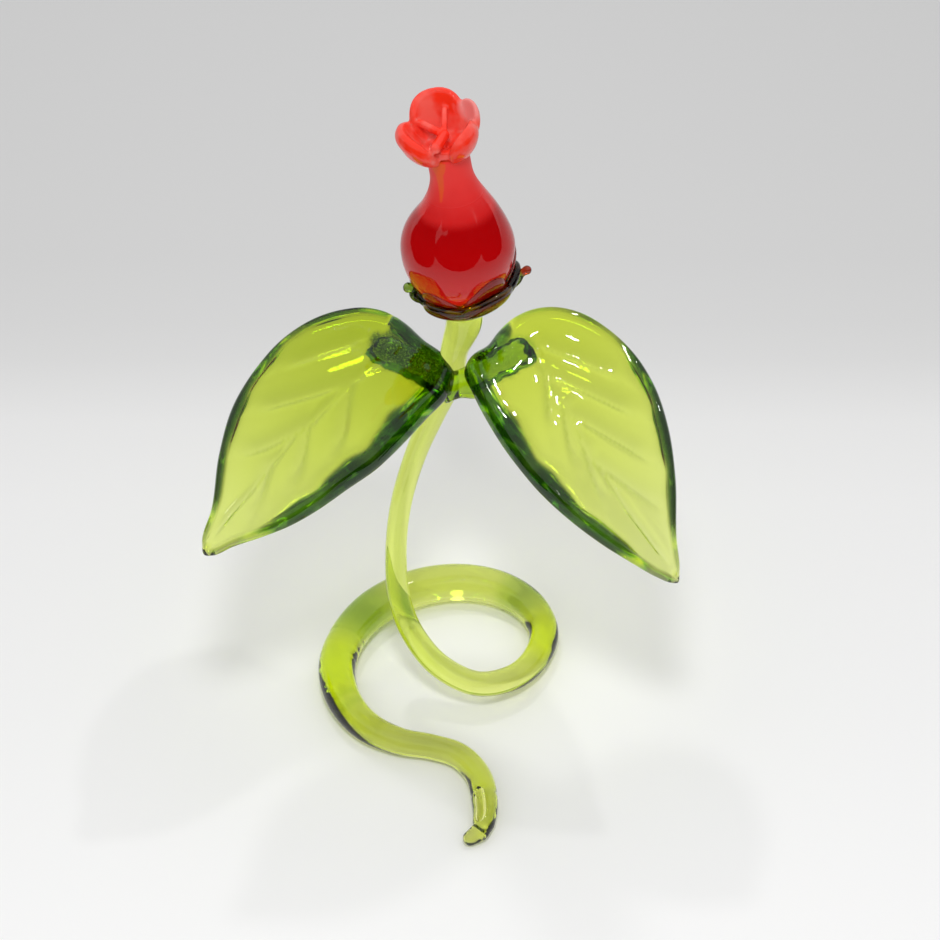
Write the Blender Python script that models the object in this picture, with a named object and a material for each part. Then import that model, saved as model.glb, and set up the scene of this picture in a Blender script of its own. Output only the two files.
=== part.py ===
"""A lampworked glass rosebud: a curled rod for a stem, two pressed leaves, a calyx and a bud with a ruffled mouth.

Sizes are in millimetres and become metres where a mesh is made. +Z is up and the curled stem lies on Z = 0.
"""

import math

import bmesh
import bpy
import numpy as np
from mathutils import Euler, Matrix, Vector
from mathutils.geometry import delaunay_2d_cdt

MM = 0.001

# Clearance kept where two pieces of glass are melted together on the real flower.
SEAM_GAP = 0.3

# The stem is a drawn rod. Its tail lies in front of the ring: (x, share of the tail's reach, rod radius).
STEM_SIDES = 14
TAIL_REACH = 26.4
TAIL = (
    (3.4, 1.0, 1.6),
    (5.5, 0.94, 2.1),
    (6.4, 0.8, 2.5),
    (6.4, 0.633, 2.8),
    (4.8, 0.35, 2.8),
    (0.7, 0.15, 2.8),
    (-5.0, 0.057, 2.8),
)
# The ring lies on the table too, from where the tail leaves it: (x, y, rod radius).
STEM_FOOT = (
    (-12.0, -39.3, 3.0),
    (-19.0, -35.5, 3.4),
    (-24.5, -28.0, 3.8),
    (-26.8, -18.0, 4.2),
    (-25.0, -8.5, 4.3),
    (-18.5, 2.0, 4.5),
    (-8.0, 8.8, 4.5),
    (2.0, 10.4, 4.4),
    (10.5, 8.3, 4.2),
    (17.0, 3.0, 3.9),
    (20.3, -5.0, 3.4),
)
# From there the rod comes round the front of the ring and climbs: (x, y, z, rod radius).
STEM_RISE = (
    (18.3, -14.0, 3.5, 3.1),
    (12.8, -21.6, 4.7, 2.9),
    (4.8, -25.2, 6.5, 2.8),
    (-3.6, -22.8, 9.8, 2.75),
    (-9.4, -18.6, 15.5, 2.6),
    (-12.3, -16.0, 24.0, 2.45),
    (-12.9, -13.6, 35.0, 2.35),
    (-11.6, -10.5, 47.0, 2.3),
    (-8.2, -7.2, 58.5, 2.35),
    (-4.2, -5.9, 68.5, 2.5),
)
# How far the underside of the foot is flattened where it was set down hot, as a share of the rod radius.
FOOT_SINK = 0.06

# The knot is a short barrel of glass on the front of the stem, and both leaf stalks meet it.
KNOT_CENTRE = (0.9, -9.0, 78.4)
KNOT_RADIUS = 3.3
KNOT_LENGTH = 6.4
KNOT_BULGE = 0.3
KNOT_SLANT = 1.2
STEM_AT_KNOT = (-0.8, -5.2, 76.8)
STEM_RADIUS_AT_KNOT = 2.6
STEM_ABOVE_KNOT = (0.1, -5.3, 84.5)
STEM_RADIUS_ABOVE_KNOT = 2.9

# The bud sits on the stem's top end. Its body is nearly upright and its neck leans to the left.
BUD_BASE = (1.8, -5.5, 97.6)
# The axis of the bud: (height above its base, how far it has moved sideways).
BUD_AXIS = ((0.0, 0.0), (13.0, -0.95), (22.0, -1.1), (28.5, -1.9), (35.0, -2.9))
BUD_RADIUS = 11.5
BUD_WAIST_HEIGHT = 13.0
NECK_RADIUS = 4.2
NECK_HEIGHT = 31.0
BUD_HEIGHT = 35.0
STEM_TOP_RADIUS = 3.8
STEM_TOP_STRAIGHT = 1.6

# Where the bud's rounded underside starts, in degrees from the bottom of its half ellipse.
BUD_BASE_ANGLE = 25.0
# How finely the bent axis is divided between its stations.
AXIS_STEPS = 12

# The calyx is a green cup under the bud, with a rolled lip and sepals melted onto the bud.
CALYX_FLOOR = 2.6
CALYX_WALL = 2.4
CALYX_LIP_HEIGHT = 3.2
CALYX_LIP_TILT = 1.4
SEPAL_WALL = 0.8
# The lip dips between sepals. These are the shares of a sepal's height that its lip and its crest rise.
SEPAL_LIP_SHARE = 0.25
SEPAL_CREST_SHARE = 0.65
SEPAL_BLUNTNESS = 0.6
CREST_ABOVE_LIP = 0.8
# Each sepal: (azimuth from the right-hand side, half spread, height above the bud's base).
SEPALS = (
    (5.0, 26.0, 10.5),
    (62.0, 30.0, 9.5),
    (122.0, 30.0, 9.5),
    (182.0, 26.0, 9.0),
    (236.0, 34.0, 8.6),
    (306.0, 36.0, 9.6),
)
# Each drawn-out sepal point: (azimuth, bead's reach past the bud, bead height, bead radius).
SEPAL_POINTS = (
    (3.0, 3.8, 5.5, 0.85),
    (187.0, 1.6, 4.6, 0.7),
)
SEPAL_POINT_RADIUS = 0.9
POINT_ROOT_SHARE = 0.4
POINT_BOW = 0.6

# The ruffle is the mouth of the bud, pressed into petals: (azimuth, half spread, reach, rise above the neck).
PETAL_WALL = 2.2
PETALS = (
    (194.0, 62.0, 9.6, 6.8),
    (106.0, 66.0, 8.8, 10.2),
    (46.0, 40.0, 7.6, 8.4),
    (342.0, 62.0, 7.6, 6.4),
)
PETAL_FULLNESS = 0.6
PETAL_FLARE = 1.3
MOUTH_REACH = 5.2
MOUTH_RISE = 3.8
MOUTH_FLOOR = 2.6
# The floor of the mouth is pinched into folds.
FOLD_COUNT = 3
FOLD_TURN = 60.0
FOLD_DEPTH = 0.5
RUFFLE_DIVISIONS = 56

# Both leaves are this long from the knot's side to the tip, and about this wide on each side of the midrib.
LEAF_LENGTH = 60.0
LEAF_HALF_WIDTH = 20.0
# The outlines are drawn in the leaf's own plane for a leaf of this length and half width, and are stretched
# to the two sizes above: (along the leaf, across it), with + across on the near side.
DRAWN_LENGTH = 60.0
DRAWN_HALF_WIDTH = 20.0
LEFT_OUTLINE = (
    (60.4, 0.3),
    (59.8, 1.6),
    (56.0, 4.6),
    (51.5, 8.6),
    (46.5, 12.2),
    (40.5, 15.0),
    (34.0, 17.0),
    (27.0, 18.9),
    (19.0, 19.7),
    (10.0, 20.1),
    (3.0, 20.2),
    (-1.4, 18.6),
    (-3.4, 15.4),
    (-4.0, 10.0),
    (-5.8, 3.5),
    (-6.3, -1.5),
    (-4.8, -6.3),
    (-1.5, -10.2),
    (3.6, -13.8),
    (11.0, -16.2),
    (19.5, -16.4),
    (30.0, -14.7),
    (41.5, -9.9),
    (52.0, -4.0),
    (58.8, -1.4),
)
RIGHT_OUTLINE = (
    (60.3, 0.2),
    (59.8, 1.2),
    (57.3, 3.6),
    (53.0, 6.5),
    (46.5, 10.3),
    (40.0, 13.2),
    (32.0, 15.5),
    (22.0, 16.6),
    (12.0, 16.4),
    (5.0, 15.5),
    (-0.2, 14.2),
    (-2.0, 11.5),
    (-2.4, 7.5),
    (-4.2, 3.6),
    (-5.7, -1.0),
    (-5.7, -6.0),
    (-3.9, -10.8),
    (-0.4, -14.8),
    (5.5, -18.0),
    (13.0, -19.7),
    (21.5, -19.2),
    (31.0, -16.2),
    (42.0, -10.8),
    (52.5, -4.3),
    (58.9, -1.0),
)
# Where the midrib starts, and the two ends of the stubby stalk under the leaf, in the same plane.
LEFT_RIB_START = (4.0, 5.0)
RIGHT_RIB_START = (5.0, 0.6)
LEFT_STALK = ((2.0, 4.0), (1.2, 15.9))
RIGHT_STALK = ((1.6, 2.6), (2.0, 10.6))
STALK_RADIUS = 3.6
STALK_DROP = 1.4
LEAF_THICKNESS = 3.2
LEAF_TIP_THICKNESS = 2.0
NEAR_RIM_EXTRA = 1.4
NEAR_RIM_WIDTH = 3.0
NEAR_RIM_START = 6.0
# The leaf is arched, highest at LEAF_ARCH_AT along it, and both edges curl down past CURL_START across it.
LEAF_ARCH = 2.5
LEAF_ARCH_AT = 26.0
NEAR_CURL = 3.0
FAR_CURL = 1.5
CURL_START = 7.0
CURL_FADE = 40.0
VEIN_DEPTH = 0.5
SIDE_VEIN_DEPTH = 0.4
VEIN_WIDTH = 1.3
VEIN_ANGLE = 42.0
VEIN_STARTS = (0.08, 0.27, 0.46, 0.65)
RIB_SHARE = 0.94
# Veins end this far from the edge, and their grooves fade over the last stretch before it.
VEIN_EDGE_MARGIN = 3.6
VEIN_EDGE_FADE = 2.0
STALK_EDGE_FADE = 1.2
# The leaf's plane is meshed in staggered rows this far apart, with points this far apart along a row.
LEAF_ROW = 3.6
LEAF_STEP = 4.2
# Rows of points just inside the edge: (how far in, least distance from the edge, least distance apart).
EDGE_ROWS = ((0.5, 0.4, 0.3), (1.6, 1.4, 0.9))
# The same two least distances for points along the veins, beside the veins, over the stalk and in between.
ON_VEIN = (1.5, 0.8)
BESIDE_VEIN = (1.5, 0.9)
OVER_STALK = (0.6, 0.7)
IN_BETWEEN = (2.6, 2.4)
# How each leaf is turned, in degrees: heading in plan, droop of its tip, roll about its midrib.
LEFT_TURN = (-126.0, 18.0, -5.0)
RIGHT_TURN = (-54.5, 26.5, -5.0)
# The stalk ends sit this far from the middle of the knot.
LEFT_STALK_OFFSET = (-4.6, 0.2, 1.9)
RIGHT_STALK_OFFSET = (5.2, 0.1, 2.7)


def material(name, colour, roughness):
    """A Principled glass colour, set from the photograph."""
    made = bpy.data.materials.new(name)
    made.use_nodes = True
    shader = made.node_tree.nodes["Principled BSDF"]
    shader.inputs["Base Color"].default_value = (*colour, 1.0)
    shader.inputs["Roughness"].default_value = roughness
    shader.inputs["Metallic"].default_value = 0.0
    made.diffuse_color = (*colour, 1.0)
    return made


def smooth_through(stations, per_span, closed=False, space=None):
    """Points on a smooth curve through the stations. The first `space` columns set the spacing along it."""
    points = np.array(stations, float)
    space = points.shape[1] if space is None else space
    if closed:
        points = np.vstack([points[-1], points, points[0], points[1]])
    steps = np.linalg.norm(np.diff(points[:, :space], axis=0), axis=1)
    at = np.concatenate([[0.0], np.cumsum(steps)])
    slopes = np.diff(points, axis=0) / steps[:, None]
    middle = (steps[1:, None] * slopes[:-1] + steps[:-1, None] * slopes[1:]) / (steps[1:] + steps[:-1])[:, None]
    tangents = np.vstack([slopes[0], middle, slopes[-1]])
    first, last = (1, len(points) - 2) if closed else (0, len(points) - 1)
    found = []
    for i in range(first, last):
        for share in np.arange(per_span) / per_span:
            h = at[i + 1] - at[i]
            a = (1 + 2 * share) * (1 - share) ** 2
            b = share * (1 - share) ** 2 * h
            c = share**2 * (3 - 2 * share)
            d = share**2 * (share - 1) * h
            found.append(a * points[i] + b * tangents[i] + c * points[i + 1] + d * tangents[i + 1])
    if not closed:
        found.append(points[-1])
    return np.array(found)


def mesh_object(name, points, faces, look, parent=None):
    """An object from points in millimetres, shaded smooth, with its faces turned outwards."""
    mesh = bpy.data.meshes.new(name)
    mesh.from_pydata([Vector(p) * MM for p in points], [], faces)
    work = bmesh.new()
    work.from_mesh(mesh)
    bmesh.ops.recalc_face_normals(work, faces=work.faces)
    work.to_mesh(mesh)
    work.free()
    mesh.shade_smooth()
    made = bpy.data.objects.new(name, mesh)
    bpy.context.scene.collection.objects.link(made)
    if look is not None:
        mesh.materials.append(look)
    made.parent = parent
    return made


def ring_faces(rings, sides):
    """Faces of a skin over rings of points, with a fan over each end."""
    faces = []
    for r in range(rings - 1):
        for s in range(sides):
            t = (s + 1) % sides
            faces.append((r * sides + s, r * sides + t, (r + 1) * sides + t, (r + 1) * sides + s))
    faces.append(tuple(range(sides))[::-1])
    faces.append(tuple((rings - 1) * sides + s for s in range(sides)))
    return faces


def rod(name, centres, radii, sides, look, parent=None, floor=None, round_start=False, round_end=False, up=(0, 0, 1)):
    """A rod of changing radius along a path. `floor` flattens whatever would reach below that height."""
    centres = [Vector(c) for c in centres]
    radii = [float(r) for r in radii]
    if round_start:
        centres, radii = rounded_end(centres, radii)
    if round_end:
        centres, radii = rounded_end(centres[::-1], radii[::-1])
        centres, radii = centres[::-1], radii[::-1]
    points = []
    side_up = Vector(up)
    for i, centre in enumerate(centres):
        ahead = centres[min(i + 1, len(centres) - 1)] - centres[max(i - 1, 0)]
        ahead.normalize()
        side_up = (side_up - ahead * side_up.dot(ahead)).normalized()
        side = ahead.cross(side_up)
        for s in range(sides):
            angle = 2 * math.pi * (s + 0.5) / sides
            point = centre + radii[i] * (math.sin(angle) * side - math.cos(angle) * side_up)
            if floor is not None:
                point.z = max(point.z, floor)
            points.append(point)
    return mesh_object(name, points, ring_faces(len(centres), sides), look, parent)


def rounded_end(centres, radii):
    """Extra stations that close the start of a rod with a ball end."""
    out = (centres[0] - centres[1]).normalized()
    radius = radii[0]
    cap = [math.radians(a) for a in (80, 55, 28)]
    ends = [centres[0] + out * radius * math.sin(a) for a in cap]
    return ends + centres, [radius * math.cos(a) for a in cap] + radii


def hidden(made):
    """Marks a cutter: it shapes other pieces and isn't one."""
    made.hide_render = True
    made.display_type = "WIRE"
    return made


def cut(piece, cutter):
    """Takes the cutter's volume out of a piece."""
    modifier = piece.modifiers.new("clear of " + cutter.name, "BOOLEAN")
    modifier.operation = "DIFFERENCE"
    modifier.solver = "EXACT"
    modifier.object = cutter


def axis_at(height):
    """(sideways offset, slope) of the bud's bent axis. It runs on straight below the base and above the neck."""
    heights, offsets = np.array(BUD_AXIS).T
    slopes = np.gradient(offsets, heights, edge_order=1)
    if height <= heights[0] or height >= heights[-1]:
        end = 0 if height <= heights[0] else -1
        return offsets[end] + slopes[end] * (height - heights[end]), slopes[end]
    curve = smooth_through(BUD_AXIS, AXIS_STEPS)
    slope = np.gradient(curve[:, 1], curve[:, 0])
    return np.interp(height, curve[:, 0], curve[:, 1]), np.interp(height, curve[:, 0], slope)


def on_axis(radius, azimuth, height):
    """A point beside the bud's axis, in millimetres from the bud's base. Azimuth 0 is the right-hand side."""
    offset, slope = axis_at(height)
    turn = Euler((0.0, math.atan(slope), 0.0)).to_matrix()
    angle = math.radians(azimuth)
    return Vector((offset, 0.0, height)) + turn @ Vector((radius * math.cos(angle), radius * math.sin(angle), 0.0))


def stem_axis(height):
    """A point on the flower's axis, in millimetres from the origin of the flower."""
    return Vector(BUD_BASE) + on_axis(0.0, 0.0, height)


def stem_stations():
    """All the rod's stations, from the tip of the tail to the underside of the calyx."""
    ring_front = STEM_FOOT[0][1]
    tail = [(x, ring_front - share * TAIL_REACH, r) for x, share, r in TAIL]
    lying = [(x, y, r * (1 - FOOT_SINK), r) for x, y, r in tail + list(STEM_FOOT)]
    climbing = list(STEM_RISE)
    climbing.append((*STEM_AT_KNOT, STEM_RADIUS_AT_KNOT))
    climbing.append((*STEM_ABOVE_KNOT, STEM_RADIUS_ABOVE_KNOT))
    climbing.append((*stem_axis(-CALYX_FLOOR - SEAM_GAP - STEM_TOP_STRAIGHT), STEM_TOP_RADIUS))
    climbing.append((*stem_axis(-CALYX_FLOOR - SEAM_GAP), STEM_TOP_RADIUS))
    return lying + climbing


def build_stem(look, parent, grow=0.0, name="stem"):
    path = smooth_through(stem_stations(), per_span=3, space=3)
    floor = None if grow else 0.0
    return rod(
        name, path[:, :3], path[:, 3] + grow, STEM_SIDES, look, parent, floor=floor, round_start=not grow
    )


def bud_radius(height):
    """The turned profile of the bud: half an ellipse below its widest point, a bell curve up to the neck."""
    if height <= BUD_WAIST_HEIGHT:
        drop = (BUD_WAIST_HEIGHT - height) / BUD_WAIST_HEIGHT
        return BUD_RADIUS * math.sqrt(max(1 - drop**2, 0.0))
    share = min((height - BUD_WAIST_HEIGHT) / (NECK_HEIGHT - BUD_WAIST_HEIGHT), 1.0)
    bell = 0.5 * (1 + math.cos(math.pi * share))
    return NECK_RADIUS + (BUD_RADIUS - NECK_RADIUS) * bell


def bud_profile(lower=8, upper=10, top=BUD_HEIGHT):
    """(radius, height) pairs from near the base to the mouth."""
    angles = np.radians(np.linspace(BUD_BASE_ANGLE, 90.0, lower))
    below = [BUD_WAIST_HEIGHT * (1 - math.cos(a)) for a in angles]
    above = list(np.linspace(BUD_WAIST_HEIGHT, NECK_HEIGHT, upper + 1)[1:]) + [top]
    return [(bud_radius(h), h) for h in below + above]


def place_on_base(made):
    made.location = Vector(BUD_BASE) * MM
    return made


def turned(profiles):
    """Points and faces of a solid round the bud's axis, from one closed (radius, height) outline for each azimuth."""
    divisions, along = len(profiles), len(profiles[0])
    points = []
    for i, outline in enumerate(profiles):
        points += [on_axis(r, 360.0 * i / divisions, h) for r, h in outline]
    faces = []
    for i in range(divisions):
        j = (i + 1) % divisions
        for k in range(along - 1):
            faces.append((i * along + k, j * along + k, j * along + k + 1, i * along + k + 1))
    faces.append(tuple(i * along for i in range(divisions))[::-1])
    faces.append(tuple(i * along + along - 1 for i in range(divisions)))
    return points, faces


def build_bud(look, parent):
    points, faces = turned([bud_profile()] * 28)
    return place_on_base(mesh_object("bud", points, faces, look, parent))


def bump(azimuth, centre, spread):
    """1 at the centre of a lobe, falling to 0 at its half spread."""
    away = abs((azimuth - centre + 180.0) % 360.0 - 180.0) / spread
    return 0.5 * (1 + math.cos(math.pi * away)) if away < 1 else 0.0


def calyx_outline(azimuth):
    """Half section of the calyx at one azimuth: floor, rolled lip, sepal, then back down beside the bud."""
    lobe = max(
        bump(azimuth, centre, spread) ** SEPAL_BLUNTNESS * (top - CALYX_LIP_HEIGHT)
        for centre, spread, top in SEPALS
    )
    lip = CALYX_LIP_HEIGHT + CALYX_LIP_TILT * math.cos(math.radians(azimuth)) + SEPAL_LIP_SHARE * lobe
    crest = lip + CREST_ABOVE_LIP + SEPAL_CREST_SHARE * lobe
    rim = bud_radius(lip) + SEAM_GAP + CALYX_WALL
    outside = []
    for share in (0.25, 0.5, 0.75, 0.95):
        height = -CALYX_FLOOR + share * (lip + CALYX_FLOOR)
        outside.append((STEM_TOP_RADIUS + (rim - STEM_TOP_RADIUS) * math.sin(0.5 * math.pi * share), height))
    for share in (0.15, 0.5):
        height = lip + share * (crest - lip)
        outside.append((bud_radius(height) + SEAM_GAP + SEPAL_WALL, height))
    outside.append((bud_radius(crest) + SEAM_GAP + 0.6 * SEPAL_WALL, crest))
    inside = []
    for share in (0.97, 0.8, 0.6, 0.4, 0.22, 0.1):
        height = share * crest
        inside.append((bud_radius(height) + SEAM_GAP, height))
    return [(STEM_TOP_RADIUS, -CALYX_FLOOR)] + outside + inside + [(bud_radius(0.04 * crest), -SEAM_GAP)]


def build_calyx(look, parent):
    points, faces = turned([calyx_outline(360.0 * i / 60) for i in range(60)])
    cup = mesh_object("calyx", points, faces, look, parent)
    for i, (azimuth, reach, height, bead) in enumerate(SEPAL_POINTS):
        root_height = POINT_ROOT_SHARE * height
        root_at = bud_radius(root_height) + 2 * SEAM_GAP + SEPAL_POINT_RADIUS
        tip_at = bud_radius(height) + SEAM_GAP + reach
        root = on_axis(root_at, azimuth, root_height)
        middle = on_axis(0.5 * (root_at + tip_at) + POINT_BOW, azimuth, 0.5 * (root_height + height))
        tip = on_axis(tip_at, azimuth, height)
        stations = [(*root, SEPAL_POINT_RADIUS), (*middle, SEPAL_POINT_RADIUS), (*tip, bead)]
        path = smooth_through(stations, per_span=3, space=3)
        point = rod(
            f"sepal point {i}", path[:, :3], path[:, 3], 8, None, parent, round_start=True, round_end=True
        )
        union = cup.modifiers.new(point.name, "BOOLEAN")
        union.operation = "UNION"
        union.solver = "EXACT"
        union.object = hidden(place_on_base(point))
    return place_on_base(cup)


def petal_outline(azimuth):
    """Half section of the ruffle at one azimuth: collar, flare, thick rounded lip, folded floor."""
    weights = [
        (bump(azimuth, centre, spread) ** PETAL_FULLNESS, reach, rise) for centre, spread, reach, rise in PETALS
    ]
    reach = MOUTH_REACH + max(w * (r - MOUTH_REACH) for w, r, _ in weights)
    rise = MOUTH_RISE + max(w * (h - MOUTH_RISE) for w, _, h in weights)
    half = 0.5 * PETAL_WALL
    lip_at = (reach - half, BUD_HEIGHT + rise - half)
    collar = (NECK_RADIUS, BUD_HEIGHT + SEAM_GAP)
    outline = [collar]
    for share in (0.3, 0.6, 0.85):
        r = collar[0] + (reach - collar[0]) * math.sin(0.5 * math.pi * share)
        h = collar[1] + (lip_at[1] - collar[1]) * share**PETAL_FLARE
        outline.append((r, h))
    for angle in (0.0, 45.0, 90.0, 140.0):
        turn = math.radians(angle)
        outline.append((lip_at[0] + half * math.cos(turn), lip_at[1] + half * math.sin(turn)))
    fold = FOLD_DEPTH * math.cos(math.radians(FOLD_COUNT * azimuth - FOLD_TURN))
    floor = BUD_HEIGHT + MOUTH_FLOOR
    for share in (0.7, 0.4, 0.15):
        r = (lip_at[0] - half) * share
        h = floor + (lip_at[1] - floor) * share**2 + 4 * fold * share * (1 - share)
        outline.append((r, h))
    return outline


def build_petals(look, parent):
    count = RUFFLE_DIVISIONS
    points, faces = turned([petal_outline(360.0 * i / count) for i in range(count)])
    return place_on_base(mesh_object("petals", points, faces, look, parent))


def distance_to_path(points, path):
    """Distance from each point to a polyline."""
    best = np.full(len(points), np.inf)
    for a, b in zip(path[:-1], path[1:]):
        run = b - a
        share = np.clip(((points - a) @ run) / max(run @ run, 1e-12), 0, 1)
        best = np.minimum(best, np.linalg.norm(points - a - share[:, None] * run, axis=1))
    return best


def stretched(drawn):
    """Points of a drawn leaf, stretched to the leaf's own length and width."""
    return np.array(drawn) * (LEAF_LENGTH / DRAWN_LENGTH, LEAF_HALF_WIDTH / DRAWN_HALF_WIDTH)


def leaf_veins(outline, rib_start):
    """The midrib and its side veins, as two-point paths that stop short of the edge."""
    start = rib_start
    rib = outline[0] - start
    heading = math.atan2(rib[1], rib[0])
    veins = [np.array([start, start + RIB_SHARE * rib])]
    edge = np.vstack([outline, outline[:1]])
    for share in VEIN_STARTS:
        for side in (1, -1):
            a = start + share * rib
            way = heading + side * math.radians(VEIN_ANGLE)
            steps = np.arange(LEAF_HALF_WIDTH * 1.5)[:, None] * np.array([math.cos(way), math.sin(way)])
            near_edge = distance_to_path(a + steps, edge) < VEIN_EDGE_MARGIN
            last = max(int(np.argmax(near_edge)) - 1, 1) if near_edge.any() else len(steps) - 1
            veins.append(np.array([a, a + steps[last]]))
    return veins


def leaf_grid(outline, veins, stalk):
    """Triangles over the leaf's plane that follow its edge, its veins and its stalk."""
    edge = smooth_through(outline, per_span=2, closed=True)
    loop = np.vstack([edge, edge[:1]])
    ahead = np.roll(edge, -1, axis=0) - np.roll(edge, 1, axis=0)
    inward = np.c_[-ahead[:, 1], ahead[:, 0]] / np.linalg.norm(ahead, axis=1)[:, None]
    kept = list(edge)

    def offer(candidates, from_edge, apart):
        far = distance_to_path(candidates, loop)
        inside = np.array([winding(p, edge) for p in candidates])
        for point, distance, within in zip(candidates, far, inside):
            if within and distance > from_edge and np.linalg.norm(np.array(kept) - point, axis=1).min() > apart:
                kept.append(point)

    for how_far, from_edge, apart in EDGE_ROWS:
        offer(edge + how_far * inward, from_edge, apart)
    for a, b in veins:
        count = max(int(np.linalg.norm(b - a) / LEAF_ROW), 2)
        line = a + np.linspace(0, 1, count + 1)[:, None] * (b - a)
        side = np.array([-(b - a)[1], (b - a)[0]]) / np.linalg.norm(b - a)
        offer(line, *ON_VEIN)
        offer(line + VEIN_WIDTH * side, *BESIDE_VEIN)
        offer(line - VEIN_WIDTH * side, *BESIDE_VEIN)
    root, end = stalk
    side = np.array([-(end - root)[1], (end - root)[0]]) / np.linalg.norm(end - root)
    for offset in (0.0, 0.55, -0.55, 0.85, -0.85, 1.05, -1.05):
        line = root + np.linspace(-0.25, 1.2, 7)[:, None] * (end - root)
        offer(line + offset * STALK_RADIUS * side, *OVER_STALK)
    low, high = edge.min(axis=0), edge.max(axis=0)
    rows = [
        (x + (0.5 * LEAF_STEP if j % 2 else 0.0), y)
        for j, y in enumerate(np.arange(low[1], high[1], LEAF_ROW))
        for x in np.arange(low[0], high[0], LEAF_STEP)
    ]
    offer(np.array(rows), *IN_BETWEEN)
    count = len(edge)
    found = delaunay_2d_cdt([Vector(p) for p in kept], [], [list(range(count))], 1, 1e-5)
    return np.array([tuple(p) for p in found[0]]), [tuple(f) for f in found[2]], loop


def winding(point, loop):
    """True for a point inside a closed outline."""
    x, y = point
    a, b = loop, np.roll(loop, -1, axis=0)
    crosses = (a[:, 1] > y) != (b[:, 1] > y)
    with np.errstate(divide="ignore", invalid="ignore"):
        where = a[:, 0] + (y - a[:, 1]) * (b[:, 0] - a[:, 0]) / (b[:, 1] - a[:, 1])
    return bool(((where > x) & crosses).sum() % 2)


def leaf_lift(plane):
    """Height of the leaf's middle surface: arched along its length, with both edges curled down."""
    along, across = plane[:, 0], plane[:, 1]
    half = 0.5 * LEAF_LENGTH
    arch = LEAF_ARCH * (1 - ((along - LEAF_ARCH_AT) / half) ** 2)
    near = np.clip((across - CURL_START) / (LEAF_HALF_WIDTH - CURL_START), 0, None)
    far = np.clip((-across - CURL_START) / (LEAF_HALF_WIDTH - CURL_START), 0, None)
    fade = np.clip((LEAF_LENGTH - along) / CURL_FADE, 0, 1)
    return arch - fade * (NEAR_CURL * near**2 + FAR_CURL * far**2)


def build_leaf(name, outline, rib_start, stalk, turn, stalk_offset, side, look, parent):
    """A pressed leaf with a rounded edge, veins in its upper face and a stubby stalk under its base."""
    outline, rib_start, stalk = stretched(outline), stretched(rib_start), stretched(stalk)
    veins = leaf_veins(outline, rib_start)
    plane, triangles, edge = leaf_grid(outline, veins, stalk)
    from_edge = distance_to_path(plane, edge)
    share = np.clip(plane[:, 0] / LEAF_LENGTH, 0, 1)
    full = LEAF_THICKNESS + (LEAF_TIP_THICKNESS - LEAF_THICKNESS) * share
    near_side = np.clip(plane[:, 1] / NEAR_RIM_START, 0, 1) * (1 - share)
    full = full + NEAR_RIM_EXTRA * near_side * np.exp(-((from_edge / NEAR_RIM_WIDTH) ** 2))
    inset = np.clip(from_edge / (0.5 * full), 0, 1)
    half = 0.5 * full * np.sqrt(1 - (1 - inset) ** 2)
    groove = np.zeros(len(plane))
    for i, vein in enumerate(veins):
        depth = VEIN_DEPTH if i == 0 else SIDE_VEIN_DEPTH
        groove = np.maximum(groove, depth * np.exp(-((distance_to_path(plane, vein) / (0.5 * VEIN_WIDTH)) ** 2)))
    groove *= np.clip(from_edge / VEIN_EDGE_FADE - 0.5, 0, 1)
    to_stalk = distance_to_path(plane, stalk)
    round_rod = np.sqrt(np.clip(STALK_RADIUS**2 - to_stalk**2, 0, None))
    rod_share = np.sqrt(np.clip(from_edge / STALK_EDGE_FADE, 0, 1))
    lift = leaf_lift(plane)
    top = lift + np.maximum(half - groove, (round_rod - STALK_DROP) * rod_share)
    bottom = lift - np.maximum(half, (round_rod + np.where(round_rod > 0, STALK_DROP, 0.0)) * rod_share)
    rim = from_edge < 1e-3
    lower_index = np.zeros(len(plane), int)
    lower_index[rim] = np.flatnonzero(rim)
    lower_index[~rim] = len(plane) + np.arange((~rim).sum())
    points = [(u, side * v, h) for (u, v), h in zip(plane, np.where(rim, lift, top))]
    points += [(u, side * v, h) for (u, v), h in zip(plane[~rim], bottom[~rim])]
    faces = list(triangles) + [tuple(int(lower_index[k]) for k in f[::-1]) for f in triangles]
    leaf = mesh_object(name, points, faces, look, parent)

    heading, droop, roll = (math.radians(a) for a in turn)
    along = Vector((math.cos(heading) * math.cos(droop), math.sin(heading) * math.cos(droop), -math.sin(droop)))
    level = Vector((0, 0, 1)).cross(along).normalized()
    up = along.cross(level)
    tilt = side * roll
    across = math.cos(tilt) * level + math.sin(tilt) * up
    frame = Matrix((along, across, along.cross(across))).transposed()
    stalk_end = frame @ Vector((stalk[1][0], side * stalk[1][1], -STALK_DROP))
    place = Vector(KNOT_CENTRE) + Vector(stalk_offset) - stalk_end
    leaf.matrix_local = Matrix.Translation(place * MM) @ frame.to_4x4()
    return leaf


def grown_copy(made, distance):
    """A cutter: the object's own surface, moved outwards by a clearance."""
    mesh = made.data.copy()
    normals = [n.vector.copy() for n in mesh.vertex_normals]
    for vertex, normal in zip(mesh.vertices, normals):
        vertex.co += normal * distance * MM
    grown = bpy.data.objects.new(made.name + " clearance", mesh)
    bpy.context.scene.collection.objects.link(grown)
    grown.parent = made.parent
    grown.location = made.location.copy()
    grown.rotation_euler = made.rotation_euler.copy()
    return hidden(grown)


def build_knot(look, parent, cutters):
    """A short barrel between the two stalks, saddled onto the front of the stem."""
    centre = Vector(KNOT_CENTRE)
    stations = []
    for share in (-0.5, -0.3, -0.1, 0.1, 0.3, 0.5):
        radius = KNOT_RADIUS - KNOT_BULGE * math.cos(2 * math.pi * share)
        stations.append((*(centre + Vector((share * KNOT_LENGTH, 0, share * KNOT_SLANT))), radius))
    path = np.array(stations)
    knot = rod("leaf_knot", path[:, :3], path[:, 3], 18, look, parent)
    for cutter in cutters:
        cut(knot, cutter)
    return knot


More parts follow.
